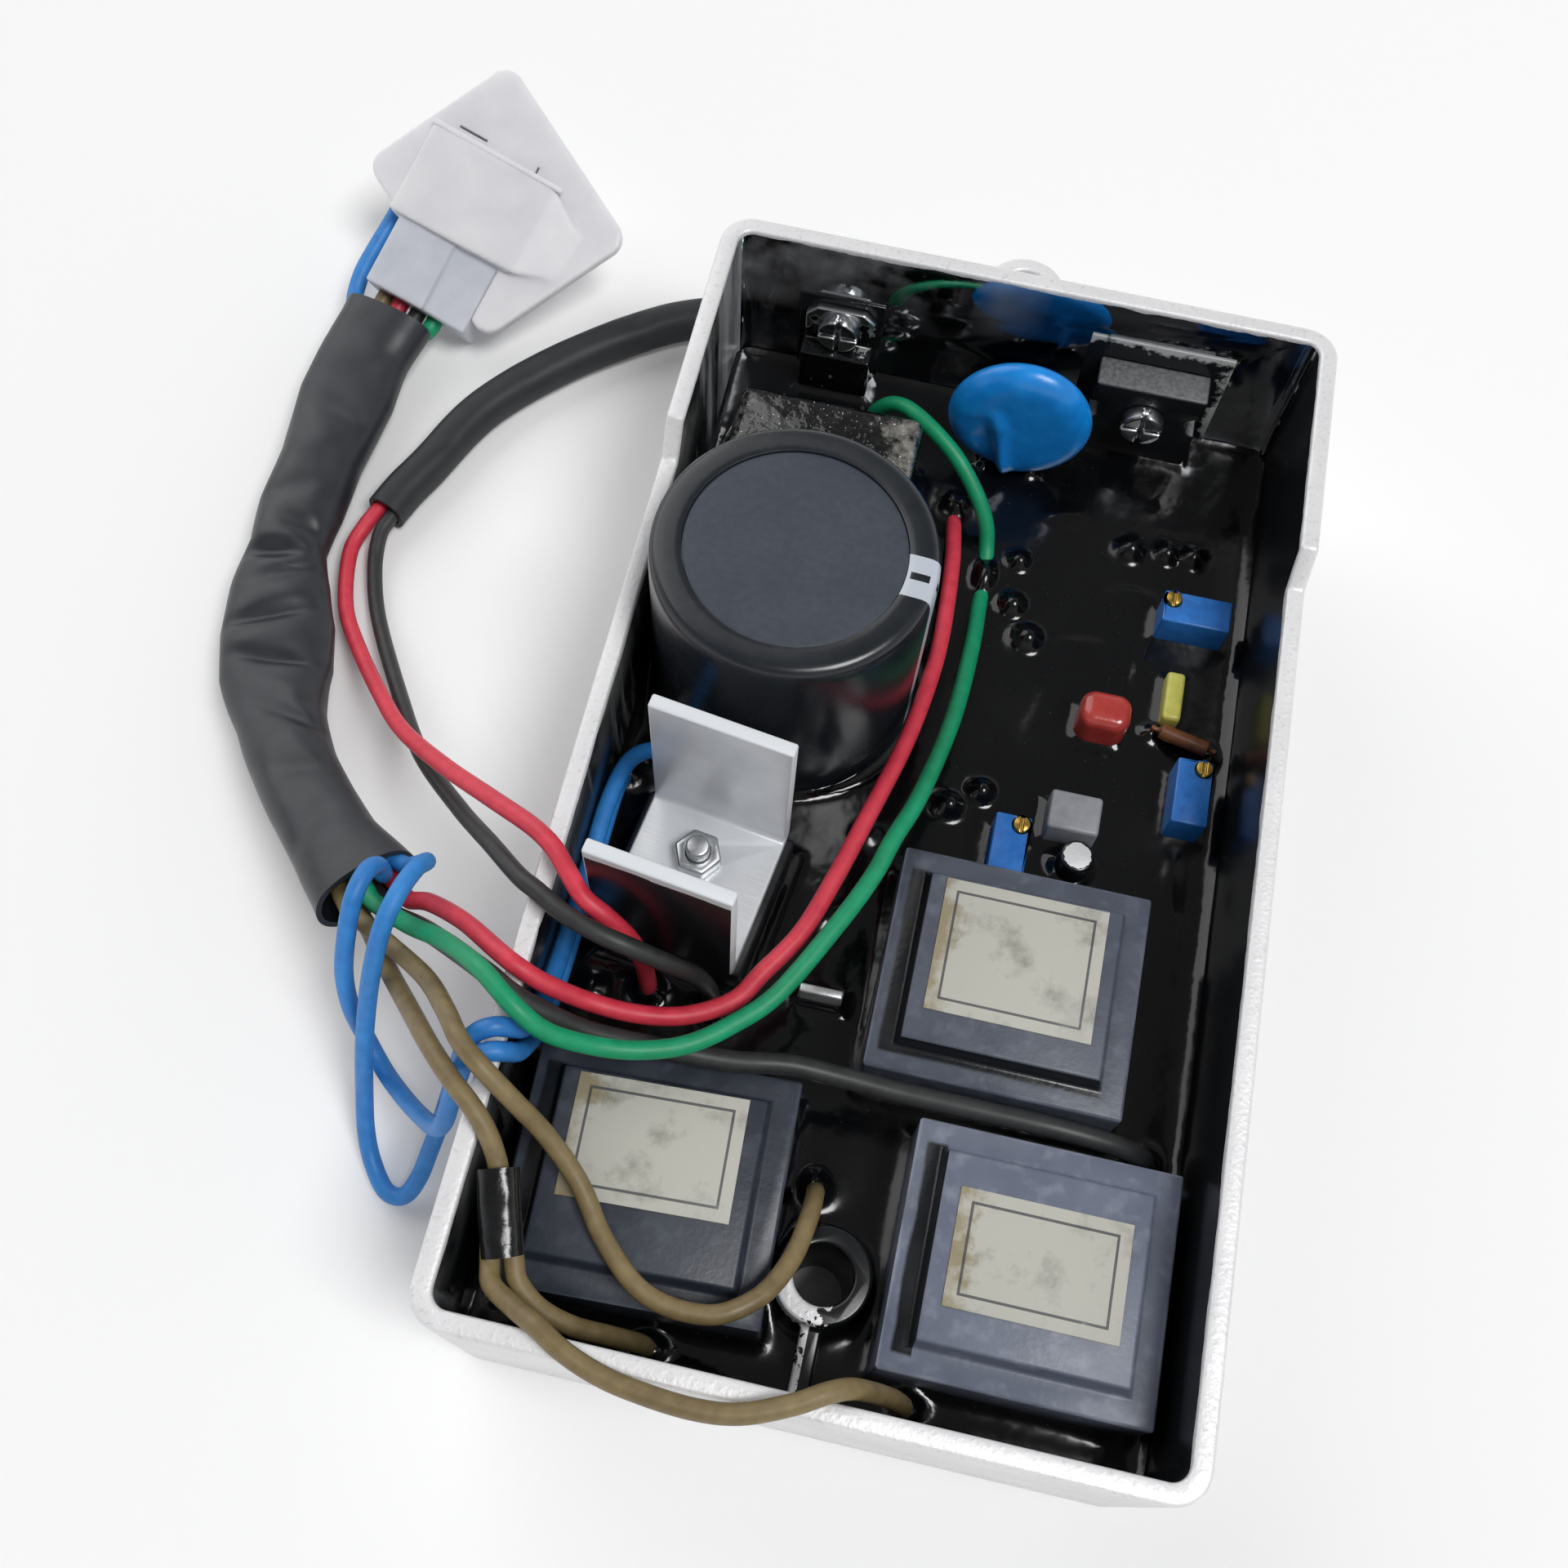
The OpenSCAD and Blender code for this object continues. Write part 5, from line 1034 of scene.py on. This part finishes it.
def resin_surface():
    """A fine grid that climbs the parts in a meniscus and bulges over drowned parts."""
    wide = 2 * RESIN_HALF_WIDE
    length = 2 * RESIN_HALF_LONG
    bpy.ops.object.select_all(action="DESELECT")
    bpy.ops.mesh.primitive_grid_add(x_subdivisions=int(wide / RESIN_CELL),
                                    y_subdivisions=int(length / RESIN_CELL), size=1)
    obj = bpy.context.active_object
    obj.name = "resin_surface"
    mesh = obj.data
    mesh.transform(Matrix.Diagonal((wide * MM, length * MM, 1, 1)))
    place = points_of(mesh)
    x = place[:, 0] / MM
    y = place[:, 1] / MM
    rise = SIDE_CLIMB * numpy.exp(-(RESIN_HALF_WIDE - numpy.abs(x)) / WALL_REACH)
    rise = numpy.maximum(rise, END_CLIMB * numpy.exp(-(RESIN_HALF_LONG - numpy.abs(y)) / WALL_REACH))
    for centre_x, centre_y, half_x, half_y, angle, climb in STANDING:
        across, along = seen_from(x, y, centre_x, centre_y, angle)
        beside = numpy.maximum(numpy.abs(across) - half_x, 0)
        gap = numpy.hypot(beside, numpy.maximum(numpy.abs(along) - half_y, 0))
        rise = numpy.maximum(rise, climb * numpy.exp(-gap / PART_REACH))
    for centre_x, centre_y, radius, climb in ROUND_STANDING:
        gap = numpy.maximum(numpy.hypot(x - centre_x, y - centre_y) - radius, 0)
        rise = numpy.maximum(rise, climb * numpy.exp(-gap / PART_REACH))
    swell = numpy.zeros_like(x)
    for centre_x, centre_y, half_x, half_y, angle, tall in DROWNED:
        across, along = seen_from(x, y, centre_x, centre_y, angle)
        off = (across / half_x) ** 2 + (along / half_y) ** 2
        swell = numpy.maximum(swell, tall * numpy.exp(-(off**1.4)))
    spots = zip(x / WAVE_SPAN, y / WAVE_SPAN)
    slack = numpy.array([WAVE_HEIGHT * noise.noise(Vector((a, b, 3.1))) for a, b in spots])
    place[:, 2] = (RESIN_LEVEL + slack + rise + swell) * MM
    mesh.vertices.foreach_set("co", place.reshape(-1))
    # The boss and its hole stand clear of the resin.
    open_mesh(obj)
    bpy.ops.mesh.select_all(action="DESELECT")
    close_mesh()
    mesh.vertices.foreach_set("select", numpy.hypot(x, y - BOSS_Y) < BOSS_CLEAR)
    bpy.ops.object.mode_set(mode="EDIT")
    bpy.ops.mesh.delete(type="VERT")
    close_mesh()
    shaped(obj, "SOLIDIFY", thickness=RESIN_SKIN * MM, offset=-1)
    shade(60)
    return obj


settle(resin_surface(), RESIN, "resin", "potting", "coated_components")

# Main capacitor: sleeve rolled over the can's top, end disc set inside the ring.
CAN = (-21.5 * MM, 19.2 * MM)
SLEEVE_PROFILE = [(17.75, 8.6), (17.8, 12), (17.82, 30), (17.8, 44.6), (17.72, 45.7), (17.5, 46.5),
                  (17.1, 46.95), (16.5, 47.15), (15.8, 47.2), (14.6, 47.2), (14.0, 47.17), (13.8, 47.1),
                  (13.75, 46.95), (13.75, 46.22), (17.2, 46.22), (17.3, 46.1), (17.3, 8.6)]
DISC_PROFILE = [(0, 47.0), (6, 47.0), (12, 46.98), (13.4, 46.94), (13.68, 46.85), (13.68, 46.22),
                (0, 46.22)]
STRIPE = striped_sleeve(CAN, math.radians(-3), half_width=0.0029)
settle(turned("capacitor_sleeve_rolled", SLEEVE_PROFILE, (*CAN, 0), 128), STRIPE, "shrink_sleeve",
       "capacitor_sleeve")
settle(turned("capacitor_disc_set_in", DISC_PROFILE, (*CAN, 0)), DISC, "end_disc", "capacitor_end_disc")

# Heat sink, rectifier and fastening.
dress("heat_sink", 0.3, 3, SHEET, "sheet_aluminium")
dress("heat_sink_nut", 0.3, 2, ZINC, "steel")
dress("heat_sink_screw", 0.3, 2, ZINC, "steel")
dress("bridge_rectifier", 0.6, 3, EPOXY, "black_epoxy")

# Rear block and the devices on the far wall, all under a skin of clear resin.
dress("film_capacitor", 1.4, 4, COATED, "coated_block")
dress("small_transistor", 0.35, 3, TAB, "black_epoxy")
dress("power_transistor", 0.5, 3, DUSTY, "black_epoxy")
dress("insulating_pads", 0.1, 2, PAD, "pad")
dress("wall_screws", 0.35, 3, ZINC, "steel")

# Varistor's rim from its face outwards: radius and half thickness.
DIP_RIM = [(7.0, 2.47), (7.6, 2.4), (8.2, 2.25), (8.7, 2.05), (9.2, 1.75), (9.6, 1.4), (9.95, 0.95),
           (10.2, 0.5)]
# Ends of its two leads under the coating, one on each face.
DIP_LEADS = [(1, (-3.2, 2.2), (-0.6, -9.8)), (-1, (4.0, 1.5), (3.4, -9.6))]


def dipped_disc():
    """A dipped disc; its near lead shows as a ridge and the coating sinks to the left of it."""
    half = [(0.8 * i, 2.5) for i in range(9)] + DIP_RIM
    profile = [(r, -h) for r, h in half] + [(10.3, 0)] + [(r, h) for r, h in reversed(half)]
    obj = turned("varistor_dipped", profile, (0, 0, 0), 144)
    mesh = obj.data
    place = points_of(mesh)
    u = place[:, 0] / MM
    v = place[:, 1] / MM
    for face, a, b in DIP_LEADS:
        along = numpy.array((b[0] - a[0], b[1] - a[1]))
        share = ((u - a[0]) * along[0] + (v - a[1]) * along[1]) / (along @ along)
        t = numpy.clip(share, 0, 1)
        gap = numpy.hypot(u - a[0] - t * along[0], v - a[1] - t * along[1])
        left = ((u - a[0]) * along[1] - (v - a[1]) * along[0]) / numpy.hypot(along[0], along[1])
        on_face = place[:, 2] * face > 0.2 * MM
        ridge = 0.9 * numpy.exp(-((gap / 1.1) ** 2)) * numpy.clip(share * 3 + 0.5, 0, 1)
        hollow = 1.1 * numpy.clip(left / 1.4, 0, 1) * numpy.exp(-((left / 5.5) ** 2))
        sunk = hollow * numpy.clip(share * 2.5, 0, 1)
        place[:, 2] += on_face * face * MM * (ridge - sunk)
    mesh.vertices.foreach_set("co", place.reshape(-1))
    lean = Matrix.Rotation(math.radians(90 - 4.5), 4, "X")
    mesh.transform(Matrix.Translation((3 * MM, 62 * MM, 24 * MM)) @ lean)
    mesh.update()
    return obj


settle(dipped_disc(), BLUE_DIP, "varistor_blue", "varistor")

# Small parts.
dress("red_film_capacitor", 1.5, 5, RED_DIP, "red_dip")
dress("yellow_capacitor", 0.6, 4, YELLOW_DIP, "yellow_dip")
settle(melted(copied("axial_diode"), 0.12, 4), BROWN_BODY, "brown_body", "axial_diode")
dress("grey_box_capacitor", 0.5, 3, GREY_BOX, "grey_box")
dress("small_electrolytic", 0.5, 4, SMALL_CAN, "shrink_sleeve")
dress("solder_tab", 0.3, 3, TIN, "steel")
for letter in "abc":
    dress("trimmer_body_" + letter, 0.3, 3, TRIM_BLUE, "trimmer_blue")
    dress("trimmer_screw_" + letter, 0.12, 2, BRASS, "brass", body="adjuster_" + letter)

# Transformers: centre, turn in degrees, tones of the case, and whether painted shade shows at its near
# end. The three cases are one plastic; their tones differ as painted sheen and shade, the first lightest
# and the third darkest.
TRANSFORMERS = {1: ((23.1, -53.7), 0, ("#525969", "#737A8C", "#A2A8B6"), 0.0),
                2: ((15.1, -20.5), 0, ("#3F4551", "#555C6A", "#7C8392"), 1.0),
                3: ((-22, -53.5), 2.5, ("#262B35", "#363C48", "#555B67"), 0.0)}
# Glued labels: centre, turn and size.
LABELS = {1: ((23.2, -53.5), 0, (20, 13.4)), 2: ((15.2, -18.7), 0, (20.3, 17)),
          3: ((-22.1, -50.3), 3, (20, 14.3))}
for number, (centre, angle, tones, near_end) in TRANSFORMERS.items():
    nylon = case_plastic("filled_nylon_slate_" + str(number), (centre[0] * MM, centre[1] * MM),
                         math.radians(angle), tones, near_end)
    dress("transformer_case_" + str(number), 0.4, 3, nylon, "case_plastic", limit=25)
for number, (centre, angle, size) in LABELS.items():
    paper = label_paper("label_paper_" + str(number), (centre[0] * MM, centre[1] * MM),
                        math.radians(angle), (size[0] * MM, size[1] * MM))
    dress("transformer_label_" + str(number), 0.06, 2, paper, "label")

# Solids that stay as they are get their finish.
STAY = {"circuit_board": MASK, "board_screws": ZINC, "capacitor_can": ALUMINIUM,
        "transformer_cores": LAMINATE, "transformer_coils": COPPER}
for name, finish in STAY.items():
    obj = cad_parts[name]
    obj.data.materials.clear()
    obj.data.materials.append(finish)

# Floor: matt white paper that keeps the shadow.
bpy.ops.object.select_all(action="DESELECT")
bpy.ops.mesh.primitive_plane_add(size=16, location=(0, 0, -0.0001))
floor = bpy.context.active_object
floor.name = "floor"
bpy.ops.object.transform_apply(location=True, rotation=True, scale=True)
floor_paper = bpy.data.materials.new("floor_paper_white")
floor_paper.use_nodes = True
paper_tree = floor_paper.node_tree
feed(paper_tree, paper_tree.nodes["Principled BSDF"], {"Base Color": tint("#F6F6F6"), "Roughness": 0.9})
floor.data.materials.append(floor_paper)

# World: a pale room; its ceiling is darker than its walls, so level black resin mirrors little light.
world = bpy.data.worlds.new("studio")
bpy.context.scene.world = world
world.use_nodes = True
room = world.node_tree
heading = add(room, "TexCoord").outputs["Generated"]
upward = add(room, "SeparateXYZ", [heading]).outputs["Z"]
glow = add(room, "MapRange", {"Value": upward, "From Min": 0.1, "From Max": 0.75, "To Min": 0.85,
                              "To Max": 0.16})
feed(room, room.nodes["Background"], {"Color": (1, 1, 1, 1), "Strength": glow})


def softbox(name, place, size, power):
    """A square lamp of a size in metres, aimed at the tray."""
    lamp = bpy.data.lights.new(name, "AREA")
    lamp.shape = "RECTANGLE"
    lamp.size = size
    lamp.size_y = size
    lamp.energy = power
    aim = Vector((0, 0, 0.02)) - Vector(place)
    turn = aim.to_track_quat("-Z", "Y").to_matrix().to_4x4()
    linked(name, lamp).matrix_world = Matrix.Translation(Vector(place)) @ turn


softbox("key_high_right", (1.1, -0.55, 2.55), size=1.0, power=48)
softbox("fill_far_left", (-1.7, 1.4, 1.9), size=2.6, power=33)

bpy.context.scene.view_settings.view_transform = "Standard"
